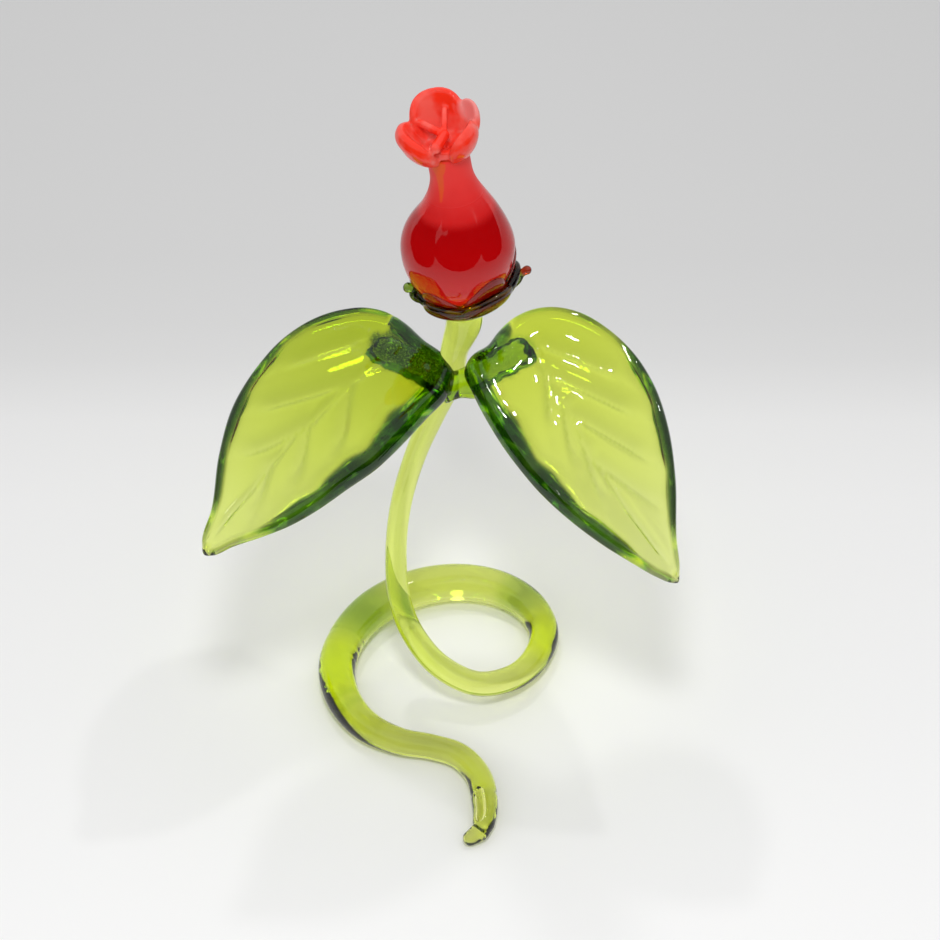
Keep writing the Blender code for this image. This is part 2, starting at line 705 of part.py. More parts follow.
def rest_on_floor(parent):
    """Puts the middle of the flower's plan box on the origin, by moving the empty that holds every piece."""
    bpy.context.view_layer.update()
    graph = bpy.context.evaluated_depsgraph_get()
    corners = []
    for made in parent.children:
        if made.hide_render:
            continue
        mesh = made.evaluated_get(graph).to_mesh()
        corners += [made.matrix_world @ vertex.co for vertex in mesh.vertices]
    xs = [corner.x for corner in corners]
    ys = [corner.y for corner in corners]
    parent.location = (-(min(xs) + max(xs)) / 2, -(min(ys) + max(ys)) / 2, 0.0)


def main():
    for made in list(bpy.data.objects):
        bpy.data.objects.remove(made, do_unlink=True)
    flower = bpy.data.objects.new("flower", None)
    bpy.context.scene.collection.objects.link(flower)

    stem_glass = material("light green rod glass", (0.42, 0.62, 0.07), 0.03)
    knot_glass = material("joint green glass", (0.30, 0.50, 0.04), 0.03)
    leaf_glass = material("left leaf green glass", (0.50, 0.66, 0.08), 0.03)
    other_leaf_glass = material("right leaf green glass", (0.50, 0.66, 0.08), 0.03)
    calyx_glass = material("calyx green glass", (0.20, 0.32, 0.03), 0.03)
    bud_glass = material("opal red glass", (0.60, 0.03, 0.04), 0.05)
    petal_glass = material("bright red glass", (0.85, 0.06, 0.05), 0.05)

    build_stem(stem_glass, flower)
    stem_clearance = hidden(build_stem(None, flower, grow=SEAM_GAP, name="stem clearance"))
    left = build_leaf(
        "leaf_left", LEFT_OUTLINE, LEFT_RIB_START, LEFT_STALK, LEFT_TURN, LEFT_STALK_OFFSET, 1, leaf_glass, flower
    )
    right = build_leaf(
        "leaf_right",
        RIGHT_OUTLINE,
        RIGHT_RIB_START,
        RIGHT_STALK,
        RIGHT_TURN,
        RIGHT_STALK_OFFSET,
        -1,
        other_leaf_glass,
        flower,
    )
    leaf_cutters = [grown_copy(left, SEAM_GAP), grown_copy(right, SEAM_GAP)]
    for leaf in (left, right):
        cut(leaf, stem_clearance)
    build_knot(knot_glass, flower, leaf_cutters + [stem_clearance])
    build_calyx(calyx_glass, flower)
    build_bud(bud_glass, flower)
    build_petals(petal_glass, flower)
    rest_on_floor(flower)


main()
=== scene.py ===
# %% [markdown]
# A lampworked glass rosebud on a pale table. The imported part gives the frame: where every piece of glass
# lies, and how large it is. This lesson builds each piece again as smooth glass, in the same places,
# and then lights it with a few lamps and a bright ceiling, between dark cards.

# %% Load the frame
import math

import bmesh
import bpy
import numpy as np
from mathutils import Euler, Matrix, Vector


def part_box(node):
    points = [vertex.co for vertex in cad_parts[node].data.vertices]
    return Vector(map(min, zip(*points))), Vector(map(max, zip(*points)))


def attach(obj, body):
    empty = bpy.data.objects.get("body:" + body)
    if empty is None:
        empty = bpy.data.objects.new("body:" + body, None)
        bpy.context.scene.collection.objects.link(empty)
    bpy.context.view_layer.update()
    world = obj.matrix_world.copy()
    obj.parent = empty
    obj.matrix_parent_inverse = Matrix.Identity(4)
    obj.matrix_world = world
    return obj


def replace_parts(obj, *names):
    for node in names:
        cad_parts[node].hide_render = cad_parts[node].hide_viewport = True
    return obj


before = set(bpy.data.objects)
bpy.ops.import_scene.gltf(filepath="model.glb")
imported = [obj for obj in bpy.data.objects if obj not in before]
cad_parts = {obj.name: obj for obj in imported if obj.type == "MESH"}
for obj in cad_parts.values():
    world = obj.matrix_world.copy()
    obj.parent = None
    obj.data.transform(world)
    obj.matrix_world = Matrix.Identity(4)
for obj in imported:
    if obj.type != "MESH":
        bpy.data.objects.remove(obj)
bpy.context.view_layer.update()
MM = 0.001

# %% [markdown]
# The camera stands in front of the flower and looks down at it. Its height and distance were worked out
# from the ring of the stem, which is round in plan and shows as an ellipse in the photograph. A camera
# can be turned by a constraint that follows a target. Here its turn comes straight from its elevation,
# because it looks straight back and never turns sideways.

# %% Place the camera
CAMERA_ELEVATION = 40.0
CAMERA_DISTANCE = 488.0
AIM = Vector((5.65, 26.25, 47.5))
LENS = 85.0

lens_data = bpy.data.cameras.new("camera")
lens_data.lens = LENS
lens_data.sensor_width = 36.0
camera = bpy.data.objects.new("camera", lens_data)
bpy.context.scene.collection.objects.link(camera)
tilt = math.radians(CAMERA_ELEVATION)
camera.location = (AIM + CAMERA_DISTANCE * Vector((0.0, -math.cos(tilt), math.sin(tilt)))) * MM
camera.rotation_euler = (math.pi / 2 - tilt, 0.0, 0.0)
bpy.context.scene.camera = camera
bpy.context.scene.view_settings.view_transform = "Standard"
print("camera at", tuple(round(c / MM, 1) for c in camera.location), "mm")

# %% [markdown]
# Drawn glass has no corners, so every rod and every leaf edge follows a smooth curve through a few
# measured stations. Blender's own curves could draw them, but their handles wander from the path between
# the stations. This curve takes its slopes from the stations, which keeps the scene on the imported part.


# %% Smooth curves
def smooth_through(stations, spacing, closed=False, space=None):
    """Points about `spacing` apart on a smooth curve through the stations, as in the part's source."""
    points = np.array(stations, float)
    space = points.shape[1] if space is None else space
    if closed:
        points = np.vstack([points[-1], points, points[0], points[1]])
    steps = np.linalg.norm(np.diff(points[:, :space], axis=0), axis=1)
    at = np.concatenate([[0.0], np.cumsum(steps)])
    slopes = np.diff(points, axis=0) / steps[:, None]
    middle = steps[1:, None] * slopes[:-1] + steps[:-1, None] * slopes[1:]
    middle /= (steps[1:] + steps[:-1])[:, None]
    tangents = np.vstack([slopes[0], middle, slopes[-1]])
    first, last = (1, len(points) - 2) if closed else (0, len(points) - 1)
    found = []
    for i in range(first, last):
        h = at[i + 1] - at[i]
        count = max(int(round(h / spacing)), 1)
        for share in np.arange(count) / count:
            a = (1 + 2 * share) * (1 - share) ** 2
            b = share * (1 - share) ** 2 * h
            c = share**2 * (3 - 2 * share)
            d = share**2 * (share - 1) * h
            found.append(a * points[i] + b * tangents[i] + c * points[i + 1] + d * tangents[i + 1])
    if not closed:
        found.append(points[-1])
    return np.array(found)


print("a curve through 3 stations:", len(smooth_through(((0, 0), (10, 5), (20, 0)), 1.0)), "points")

# %% [markdown]
# A glass piece is one closed skin, and light has to know where it enters and leaves. A curve with a bevel
# gives such a skin for a rod, but not for a leaf, so every piece is made from its own points and faces.
# The points can then carry values for the materials to read. A rod is a row of rings along its path.


# %% Meshes from points
def glass_mesh(name, points, faces, look, inner=None):
    """A smooth closed piece from points in millimetres. `inner` adds a bubble, whose faces look inwards."""
    mesh = bpy.data.meshes.new(name)
    mesh.from_pydata([Vector(p) * MM for p in points], [], faces)
    work = bmesh.new()
    work.from_mesh(mesh)
    bmesh.ops.recalc_face_normals(work, faces=work.faces)
    work.to_mesh(mesh)
    work.free()
    if inner is not None:
        outer_points = [v.co.copy() for v in mesh.vertices]
        outer_faces = [tuple(f.vertices) for f in mesh.polygons]
        count = len(outer_points)
        more = [Vector(p) * MM for p in inner[0]]
        mesh.clear_geometry()
        more_faces = [tuple(k + count for k in f) for f in inner[1]]
        mesh.from_pydata(outer_points + more, [], outer_faces + more_faces)
    mesh.shade_smooth()
    mesh.materials.append(look)
    made = bpy.data.objects.new(name, mesh)
    bpy.context.scene.collection.objects.link(made)
    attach(made, "root")
    return made


def point_values(made, name, values, kind="FLOAT"):
    """Stores one value a point, for the materials to read."""
    stored = made.data.attributes.new(name, kind, "POINT")
    entry = "vector" if kind == "FLOAT_VECTOR" else "value"
    stored.data.foreach_set(entry, np.ravel(values).astype(np.float32))


def ring_faces(rings, sides):
    """Faces over rings of points, closed by a fan at each end."""
    faces = []
    for r in range(rings - 1):
        for s in range(sides):
            t = (s + 1) % sides
            faces.append((r * sides + s, r * sides + t, (r + 1) * sides + t, (r + 1) * sides + s))
    faces.append(tuple(range(sides))[::-1])
    faces.append(tuple((rings - 1) * sides + s for s in range(sides)))
    return faces


def rounded(path):
    """Adds a ball end before the first station of an (x, y, z, radius) path."""
    out = path[0, :3] - path[1, :3]
    out /= np.linalg.norm(out)
    radius = path[0, 3]
    caps = []
    for a in np.radians((86, 75, 60, 45, 30, 15)):
        caps.append((*(path[0, :3] + out * radius * math.sin(a)), radius * math.cos(a)))
    return np.vstack([caps, path])


def swept(path, sides, floor=None):
    """Points and faces of a rod along an (x, y, z, radius) path. `floor` flattens what lies below it."""
    centres = path[:, :3]
    ahead = np.gradient(centres, axis=0)
    ahead /= np.linalg.norm(ahead, axis=1)[:, None]
    up = np.array([0.0, 0.0, 1.0])
    angles = 2 * np.pi * (np.arange(sides) + 0.5) / sides
    points = []
    for centre, way, radius in zip(centres, ahead, path[:, 3]):
        up = up - way * (up @ way)
        up /= np.linalg.norm(up)
        side = np.cross(way, up)
        points.append(centre + radius * (np.sin(angles)[:, None] * side - np.cos(angles)[:, None] * up))
    points = np.vstack(points)
    if floor is not None:
        points[:, 2] = np.maximum(points[:, 2], floor)
    return points, ring_faces(len(path), sides)


print("a rod of 3 rings with 8 sides:", len(ring_faces(3, 8)), "faces")

# %% [markdown]
# Every piece is soda or borosilicate glass, and light goes through it. The green comes from the depth of
# glass that the light crosses, so it is written as an absorption inside the piece: thin glass stays pale
# and thick glass turns dark, as it does on the real leaves. A green surface would be simpler, but it would
# look the same on thin and thick glass.

# %% Clear glass
GLASS_IOR = 1.5


def settle(node, values):
    """Sets inputs of a node from their names and values."""
    for entry, value in values.items():
        node.inputs[entry].default_value = value


def new_material(name):
    """(material, shader, nodes, links) of a material whose surface is one Principled shader."""
    made = bpy.data.materials.new(name)
    made.use_nodes = True
    nodes, links = made.node_tree.nodes, made.node_tree.links
    nodes.clear()
    shader = nodes.new("ShaderNodeBsdfPrincipled")
    out = nodes.new("ShaderNodeOutputMaterial")
    links.new(shader.outputs["BSDF"], out.inputs["Surface"])
    return made, shader, nodes, links


def glass(name, tint, density, through=1.0, roughness=0.01, colour=(1, 1, 1)):
    """The same for a glass that tints the light inside it, with this density a metre."""
    made, shader, nodes, links = new_material(name)
    settle(
        shader,
        {
            "Base Color": (*colour, 1),
            "Roughness": roughness,
            "IOR": GLASS_IOR,
            "Transmission Weight": through,
        },
    )
    body = nodes.new("ShaderNodeVolumeAbsorption")
    settle(body, {"Color": (*tint, 1), "Density": density})
    out = shader.outputs["BSDF"].links[0].to_node
    links.new(body.outputs["Volume"], out.inputs["Volume"])
    return made, shader, nodes, links


print("light bends in the glass by", GLASS_IOR)

# %% [markdown]
# No piece has one even colour: there are streaks, folded edges darkened by painted shade, stretches of
# painted light and shade, seams and a drip. Pictures could be wrapped round the pieces, but then each would
# need to be unwrapped. Values stored at the points and a little noise follow the shape by themselves, and
# stay sharp from close by.


# %% Colours over a piece
def field(nodes, name, output="Fac"):
    """The values that point_values stored under this name."""
    found = nodes.new("ShaderNodeAttribute")
    found.attribute_name = name
    return found.outputs[output]


def noise(nodes, links, scale, detail, vector=None, distortion=0.0):
    """A noise over the place in `vector`, or over the whole piece."""
    found = nodes.new("ShaderNodeTexNoise")
    settle(found, {"Scale": scale, "Detail": detail, "Distortion": distortion})
    if vector is not None:
        links.new(vector, found.inputs["Vector"])
    return found.outputs["Fac"]


def mapped(nodes, links, value, low, high, to_low=0.0, to_high=1.0, smooth=False):
    """Maps the span from `low` to `high` to the span from `to_low` to `to_high`, and stays inside it."""
    found = nodes.new("ShaderNodeMapRange")
    if smooth:
        found.interpolation_type = "SMOOTHSTEP"
    settle(found, {"From Min": low, "From Max": high, "To Min": to_low, "To Max": to_high})
    links.new(value, found.inputs["Value"])
    return found.outputs["Result"]


def ramp(nodes, links, source, stops):
    """A colour ramp over a value, as (position, colour) stops."""
    found = nodes.new("ShaderNodeValToRGB")
    elements = found.color_ramp.elements
    elements.remove(elements[1])
    elements[0].position = stops[0][0]
    elements[0].color = (*stops[0][1], 1)
    for position, colour in stops[1:]:
        elements.new(position).color = (*colour, 1)
    links.new(source, found.inputs["Fac"])
    return found.outputs["Color"]


def distance_from(nodes, links, vector, place):
    """How far the place in `vector` is from a fixed one, in metres."""
    found = nodes.new("ShaderNodeVectorMath")
    found.operation = "DISTANCE"
    found.inputs[1].default_value = place
    links.new(vector, found.inputs[0])
    return found.outputs["Value"]


def mixed(nodes, links, share, a, b):
    """A colour that goes from `a` to `b` with the share. Each is a socket or a value."""
    found = nodes.new("ShaderNodeMix")
    found.data_type = "RGBA"
    for socket, value in ((found.inputs[0], share), (found.inputs[6], a), (found.inputs[7], b)):
        if isinstance(value, bpy.types.NodeSocket):
            links.new(value, socket)
        elif isinstance(value, tuple):
            socket.default_value = (*value, 1)
        else:
            socket.default_value = value
    return found.outputs[2]


helpers = (field, noise, mapped, ramp, distance_from, mixed)
print("helpers for colours:", ", ".join(helper.__name__ for helper in helpers))

# %% [markdown]
# The stem is one drawn rod. Its thick end was laid down hot as a tail and a ring, and it climbs from the
# front of the ring to the bud, thinning to half its width. A few cold seams cross the thick part where the
# glassmaker stopped and reheated it. A curve with a round bevel could draw the rod. Rings of points are
# swept instead, because the foot has to be flattened on the table and the seams have to pinch the rod.

# %% Path of the stem
TAIL_AND_RING = (
    (3.4, -65.7, 1.6),
    (5.5, -64.1, 2.1),
    (6.4, -60.5, 2.5),
    (6.4, -56.0, 2.8),
    (4.8, -48.5, 2.8),
    (0.7, -43.2, 2.8),
    (-5.0, -40.8, 2.8),
    (-12.0, -39.3, 3.0),
    (-19.0, -35.5, 3.4),
    (-24.5, -28.0, 3.8),
    (-26.8, -18.0, 4.2),
    (-25.0, -8.5, 4.3),
    (-18.5, 2.0, 4.5),
    (-8.0, 8.8, 4.5),
    (2.0, 10.4, 4.4),
    (10.5, 8.3, 4.2),
    (17.0, 3.0, 3.9),
    (20.3, -5.0, 3.4),
)
RISE = (
    (18.3, -14.0, 3.5, 3.1),
    (12.8, -21.6, 4.7, 2.9),
    (4.8, -25.2, 6.5, 2.8),
    (-3.6, -22.8, 9.8, 2.75),
    (-9.4, -18.6, 15.5, 2.6),
    (-12.3, -16.0, 24.0, 2.45),
    (-12.9, -13.6, 35.0, 2.35),
    (-11.6, -10.5, 47.0, 2.3),
    (-8.2, -7.2, 58.5, 2.35),
    (-4.2, -5.9, 68.5, 2.5),
    (-0.8, -5.2, 76.8, 2.6),
    (0.1, -5.3, 84.5, 2.9),
)
BUD_BASE = Vector((1.8, -5.5, 97.6))
BUD_AXIS = np.array(((0.0, 0.0), (13.0, -0.95), (22.0, -1.1), (28.5, -1.9), (35.0, -2.9)))
STEM_TOP_RADIUS = 3.8
# The rod ends in two stations on the bud's axis, below its base.
STEM_TOP_HEIGHTS = (-4.5, -2.9)
CALYX_FLOOR = 2.6
FOOT_SINK = 0.06
# A hair of air stays between the flattened foot and the table, as under any glass that is set down.
FOOT_CLEAR = 0.04
STEM_STEP = 0.5
STEM_SIDES = 40
# Cold seams across the rod: (distance from the tail's tip, depth, half width).
SEAMS = ((68.7, 0.10, 0.35), (75.5, 0.12, 0.4), (12.2, 0.22, 0.5), (3.4, 0.25, 0.6))

axis_curve = smooth_through(BUD_AXIS, 1.0)
axis_slope = np.gradient(axis_curve[:, 1], axis_curve[:, 0])


def on_axis(radius, azimuth, height):
    """A point beside the bud's bent axis, from the bud's base. Azimuth 0 is the right-hand side."""
    slope = float(np.interp(height, axis_curve[:, 0], axis_slope))
    offset = float(np.interp(height, axis_curve[:, 0], axis_curve[:, 1]))
    offset += slope * (height - min(max(height, 0.0), BUD_AXIS[-1, 0]))
    turn = Euler((0.0, math.atan(slope), 0.0)).to_matrix()
    angle = math.radians(azimuth)
    out = Vector((radius * math.cos(angle), radius * math.sin(angle), 0.0))
    return Vector((offset, 0.0, height)) + turn @ out


stations = [(x, y, r * (1 - FOOT_SINK), r) for x, y, r in TAIL_AND_RING] + list(RISE)
for height in STEM_TOP_HEIGHTS:
    stations.append((*(BUD_BASE + on_axis(0.0, 0.0, height)), STEM_TOP_RADIUS))
path = smooth_through(stations, STEM_STEP, space=3)
run = np.concatenate([[0.0], np.cumsum(np.linalg.norm(np.diff(path[:, :3], axis=0), axis=1))])
for at, depth, half in SEAMS:
    path[:, 3] -= depth * np.exp(-(((run - at) / half) ** 2))
path = rounded(path)
run = np.concatenate([np.full(len(path) - len(run), 0.0), run])
stem_points, stem_faces = swept(path, STEM_SIDES, floor=FOOT_CLEAR)
stem_low, stem_high = (Vector(c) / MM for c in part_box("stem"))
own_middle = Vector((stem_points.min(axis=0) + stem_points.max(axis=0)) / 2)
FLOWER_AT = (stem_low + stem_high) / 2 - own_middle
FLOWER_AT.z = 0.0
print("flower shifted by", tuple(round(c, 3) for c in FLOWER_AT), "mm; rod length", round(run[-1], 1), "mm")

# %% [markdown]
# The rod is slightly cloudy, with faint streaks drawn out along it, and a long bubble is trapped in its
# tail. The streaks are noise that is stretched along the rod. Painted light pales the rod where it lies on
# the table and makes two stretches of the ring glow, and painted shade darkens a few other stretches. The
# bubble could be cut out of the rod with a modifier. It is a second skin in the same mesh instead, with its
# faces turned inwards, because that is all that light meets there.

# %% Stem
# Painted glow (1) and painted shade (-1) along the rod: (distance from the tail's tip, half width, shade).
ROD_GLOW_AND_SHADE = ((66.0, 8.0, 1.0), (139.5, 6.0, 1.0), (86.0, 7.0, -0.8), (125.0, 4.5, -0.6), (57.0, 2.0, -0.4))
# The bubble lies between two distances along the rod, and a little to the left of its middle.
BUBBLE_FROM, BUBBLE_TO, BUBBLE_RADIUS, BUBBLE_ASIDE = 4.5, 14.5, 0.8, -0.6
BUBBLE_SIDES = 16
# Below the first height the rod lies on the table, and above the second it is clear of it. Painted light
# makes the rod paler where it lies on the table, standing in for the light that the glass gathers under it.
LYING_BELOW, LIFTED_ABOVE = 5.0, 11.0
STREAK_TONES = ((0.35, (0.79, 0.88, 0.26)), (0.5, (0.85, 0.92, 0.33)), (0.68, (0.91, 0.96, 0.42)))

stem_look, shader, nodes, links = glass("drawn green glass", (0.89, 0.978, 0.0), 130.0)
streak = noise(nodes, links, 1.0, 3.0, field(nodes, "rod place", "Vector"))
streaks = ramp(nodes, links, streak, STREAK_TONES)
shade = field(nodes, "rod painted glow and shade")
# Painted light: paler where the rod lies on the table, and glowing along two stretches of the ring. Painted
# shade darkens a few other stretches.
tinted = mixed(nodes, links, field(nodes, "rod painted table light"), streaks, (1.0, 1.0, 0.62))
tinted = mixed(nodes, links, mapped(nodes, links, shade, 0.0, 1.0), tinted, (0.98, 1.0, 0.12))
tinted = mixed(nodes, links, mapped(nodes, links, shade, 0.0, -1.0), tinted, (0.55, 0.70, 0.22))
links.new(tinted, shader.inputs["Base Color"])
inside = path[(run > BUBBLE_FROM) & (run < BUBBLE_TO)]
share = np.linspace(-1, 1, len(inside))
inside[:, 0] += BUBBLE_ASIDE
inside[:, 3] = BUBBLE_RADIUS * np.sqrt(np.clip(1 - share**4, 0.01, None))
bubble_points, bubble_faces = swept(inside, BUBBLE_SIDES)
bubble = (bubble_points + np.array(FLOWER_AT), bubble_faces)
stem = glass_mesh("stem_body", stem_points + np.array(FLOWER_AT), stem_faces, stem_look, inner=bubble)
around = np.tile(2 * np.pi * np.arange(STEM_SIDES) / STEM_SIDES, len(path))
along = np.repeat(run, STEM_SIDES)
glow_and_shade = np.zeros(len(along))
for at, half, amount in ROD_GLOW_AND_SHADE:
    glow_and_shade += amount * np.exp(-(((along - at) / half) ** 4))
extra = len(bubble_points)
point_values(stem, "rod painted glow and shade", np.r_[glow_and_shade, np.zeros(extra)])
table_light_share = np.clip((LIFTED_ABOVE - path[:, 2]) / (LIFTED_ABOVE - LYING_BELOW), 0, 1)
point_values(stem, "rod painted table light", np.r_[np.repeat(table_light_share, STEM_SIDES), np.ones(extra)])
along = np.r_[along, np.zeros(extra)]
around = np.r_[around, np.zeros(extra)]
rod_place = np.c_[0.02 * along, 1.3 * np.cos(around), 1.3 * np.sin(around)]
point_values(stem, "rod place", rod_place, "FLOAT_VECTOR")
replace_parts(stem, "stem")
print("stem:", len(stem.data.polygons), "faces")

# %% [markdown]
# Each leaf is a gather of clear green glass, pressed flat in a pair of leaf-shaped jaws. The jaws leave
# sharp creases for the midrib and its side veins, and squeeze extra glass out to the near edge, where it
# folds into a thick bead. A short rod under the base joins the leaf to the knot. A leaf could be modelled by
# hand. It is written as lines in its own plan instead, because the real jaws too are drawn from above.

# %% Lines of the leaves
# In a leaf's own plan, x runs from its base towards its tip, and y is above 0 on its near half. The base
# is the station where the near and the far edge part. The stalk runs between two places, and its offset is
# from the knot. The turn is the heading, droop and roll in degrees, and a side of -1 mirrors the plan. The
# rims are the widths of the thick edge by x, which painted shade darkens, and the stalk's two values are
# how much painted shade it gets above and below.
LEFT = {
    "outline": (
        (60.4, 0.3),
        (59.8, 1.6),
        (56.0, 4.6),
        (51.5, 8.6),
        (46.5, 12.2),
        (40.5, 15.0),
        (34.0, 17.0),
        (27.0, 18.9),
        (19.0, 19.7),
        (10.0, 20.1),
        (3.0, 20.2),
        (-1.4, 18.6),
        (-3.4, 15.4),
        (-4.0, 10.0),
        (-5.8, 3.5),
        (-6.3, -1.5),
        (-4.8, -6.3),
        (-1.5, -10.2),
        (3.6, -13.8),
        (11.0, -16.2),
        (19.5, -16.4),
        (30.0, -14.7),
        (41.5, -9.9),
        (52.0, -4.0),
        (58.8, -1.4),
    ),
    "base": 15,
    "stalk": ((2.0, 4.0), (1.2, 15.9)),
    "turn": (-126.0, 18.0, -5.0),
    "stalk_offset": (-4.6, 0.2, 1.9),
    "side": 1,
    "midrib": (
        (3.0, 6.8),
        (15.2, 3.4),
        (24.2, 2.9),
        (29.3, 1.8),
        (36.6, 1.5),
        (44.6, 1.2),
        (52.0, 0.4),
        (57.0, 0.2),
    ),
    "veins": (
        ((13.3, 4.1), (19.1, -0.1), (24.8, -4.9), (30.3, -9.6)),
        ((5.0, -2.0), (12.9, -7.3), (18.8, -11.0)),
        ((27.5, 2.5), (35.6, -2.0), (40.7, -6.6)),
        ((14.0, 4.2), (16.5, 5.4), (24.4, 9.8), (30.1, 12.0)),
        ((27.0, 2.6), (34.0, 6.4), (39.5, 8.6)),
        ((38.5, 1.4), (44.0, 3.4), (47.5, 4.8)),
    ),
    "rim": (
        (-6.0, 3.0),
        (2.0, 4.2),
        (12.0, 4.6),
        (22.0, 4.2),
        (34.0, 3.4),
        (42.0, 2.8),
        (49.0, 1.4),
        (56.0, 0.6),
    ),
    "far_rim": ((-6.0, 1.2), (14.0, 1.2), (24.0, 1.7), (34.0, 1.8), (46.0, 1.3), (58.0, 0.7)),
    "stalk_shade": (0.96, 0.98),
}
RIGHT = {
    "outline": (
        (60.3, 0.2),
        (59.8, 1.2),
        (57.3, 3.6),
        (53.0, 6.5),
        (46.5, 10.3),
        (40.0, 13.2),
        (32.0, 15.5),
        (22.0, 16.6),
        (12.0, 16.4),
        (5.0, 15.5),
        (-0.2, 14.2),
        (-2.0, 11.5),
        (-2.4, 7.5),
        (-4.2, 3.6),
        (-5.7, -1.0),
        (-5.7, -6.0),
        (-3.9, -10.8),
        (-0.4, -14.8),
        (5.5, -18.0),
        (13.0, -19.7),
        (21.5, -19.2),
        (31.0, -16.2),
        (42.0, -10.8),
        (52.5, -4.3),
        (58.9, -1.0),
    ),
    "base": 15,
    "stalk": ((1.6, 2.6), (2.0, 10.6)),
    "turn": (-54.5, 26.5, -5.0),
    "stalk_offset": (5.2, 0.1, 2.7),
    "side": -1,
    "midrib": (
        (3.0, -1.0),
        (8.3, 0.9),
        (16.6, 1.4),
        (22.8, 1.8),
        (27.8, 3.0),
        (35.1, 2.6),
        (43.5, 2.2),
        (51.3, 1.2),
        (57.0, 0.5),
    ),
    "veins": (
        ((8.7, 0.6), (15.0, 4.0), (21.0, 7.5)),
        ((16.6, 1.4), (24.0, 4.8), (31.0, 7.4)),
        ((27.7, 3.2), (34.5, 5.2), (41.0, 6.6)),
        ((4.0, -2.6), (10.0, -7.4), (18.0, -12.4)),
        ((10.0, 0.6), (18.0, -5.0), (27.0, -11.0)),
        ((20.0, 1.6), (29.0, -3.4), (37.0, -8.0)),
        ((32.0, 2.6), (40.0, -1.0), (46.0, -4.2)),
    ),
    "rim": (
        (-4.0, 2.2),
        (2.0, 3.4),
        (10.0, 4.0),
        (20.0, 4.0),
        (30.0, 3.6),
        (40.0, 3.0),
        (49.0, 2.0),
        (56.0, 1.0),
    ),
    "far_rim": ((-4.0, 0.9), (8.0, 1.0), (20.0, 2.1), (34.0, 2.0), (42.0, 1.7), (50.0, 1.1), (58.0, 0.6)),
    "stalk_shade": (0.5, 0.8),
}
print("side veins:", len(LEFT["veins"]), "on the left leaf,", len(RIGHT["veins"]), "on the right one")

# %% [markdown]
# The pressed leaf is a thin blade whose top and underside differ: the creases are on top, and the stalk
# bulges below. A flat sheet with a thickness modifier would give both sides the same form. Here both
# heights are worked out over the plan, from how far each point lies from the edge, the veins and the stalk.

# %% Surface of a leaf
KNOT_CENTRE = Vector((0.9, -9.0, 78.4))
STALK_RADIUS = 3.6
STALK_DROP = 1.4
LEAF_LENGTH = 60.0
LEAF_THICKNESS = 3.2
TIP_THICKNESS = 2.0
TIP_BALL_AT = (59.0, 0.2)
TIP_BALL_RADIUS = 1.45
# The bead along the near edge: how much thicker than the blade it is, and how far in its middle lies.
BEAD_EXTRA = 2.6
BEAD_INSET = 0.5
# A pressed crease is steep on one side and soft on the other: its depth, and how far each side reaches.
MIDRIB_FORM = (0.7, 0.45, 0.9)
VEIN_FORM = (0.65, 0.5, 2.6)
VEIN_FADE = 5.0
# The blade is arched along its length, and both edges curl down beyond a distance from its middle.
ARCH_HEIGHT = 2.5
ARCH_MIDDLE = 26.0
ARCH_HALF = 30.0
CURL_START = 7.0
CURL_SPAN = 13.0
NEAR_CURL = 3.0
FAR_CURL = 1.5
# Over these distances the stalk rounds off at the edge, the rims begin at the middle and the dark edge ends.
EDGE_ROUND = 1.2
MIDDLE_SOFT = 1.5
RIM_SOFT = 0.18
ROWS = 150
COLUMNS = 72


def to_path(points, path):
    """Distance from each point to a polyline, and the side it lies on."""
    best = np.full(len(points), np.inf)
    side = np.ones(len(points))
    for a, b in zip(path[:-1], path[1:]):
        way = b - a
        share = np.clip(((points - a) @ way) / max(way @ way, 1e-12), 0, 1)
        off = points - a - share[:, None] * way
        found = np.linalg.norm(off, axis=1)
        nearer = found < best
        best = np.where(nearer, found, best)
        side = np.where(nearer, np.sign(way[0] * off[:, 1] - way[1] * off[:, 0]), side)
    return best, side


def leaf_plane(leaf):
    """The leaf's plan as rings of points: a ring crosses the blade on top and comes back underneath."""
    loop = smooth_through(leaf["outline"], 0.4, closed=True)
    corner = np.array(leaf["outline"][leaf["base"]])
    turn = int(np.argmin(np.linalg.norm(loop - corner, axis=1)))
    near = loop[: turn + 1][::-1]
    far = np.vstack([loop[turn:], loop[:1]])
    steps = 0.5 * (1 - np.cos(np.pi * np.linspace(0, 1, ROWS + 1)))
    edges = []
    for edge in (near, far):
        at = np.concatenate([[0.0], np.cumsum(np.linalg.norm(np.diff(edge, axis=0), axis=1))])
        spots = steps * at[-1]
        edges.append(np.c_[np.interp(spots, at, edge[:, 0]), np.interp(spots, at, edge[:, 1])])
    across = 0.5 * (1 - np.cos(np.pi * np.linspace(0, 1, COLUMNS + 1)))
    top = edges[1][:, None, :] * (1 - across)[None, :, None] + edges[0][:, None, :] * across[None, :, None]
    under = top[:, 1:-1][:, ::-1]
    plan = np.concatenate([top, under], axis=1)
    is_top = np.concatenate([np.ones(COLUMNS + 1), np.zeros(COLUMNS - 1)])
    return plan[1:-1], is_top, np.vstack([loop, loop[:1]])


def leaf_lift(along, across):
    """Height of the blade's middle surface: arched along its length, with both edges curled down."""
    arch = ARCH_HEIGHT * (1 - ((along - ARCH_MIDDLE) / ARCH_HALF) ** 2)
    near = np.clip((across - CURL_START) / CURL_SPAN, 0, None)
    far = np.clip((-across - CURL_START) / CURL_SPAN, 0, None)
    from_tip = np.clip((LEAF_LENGTH - along) / 40.0, 0, 1)
    return arch - from_tip * (NEAR_CURL * near**2 + FAR_CURL * far**2)


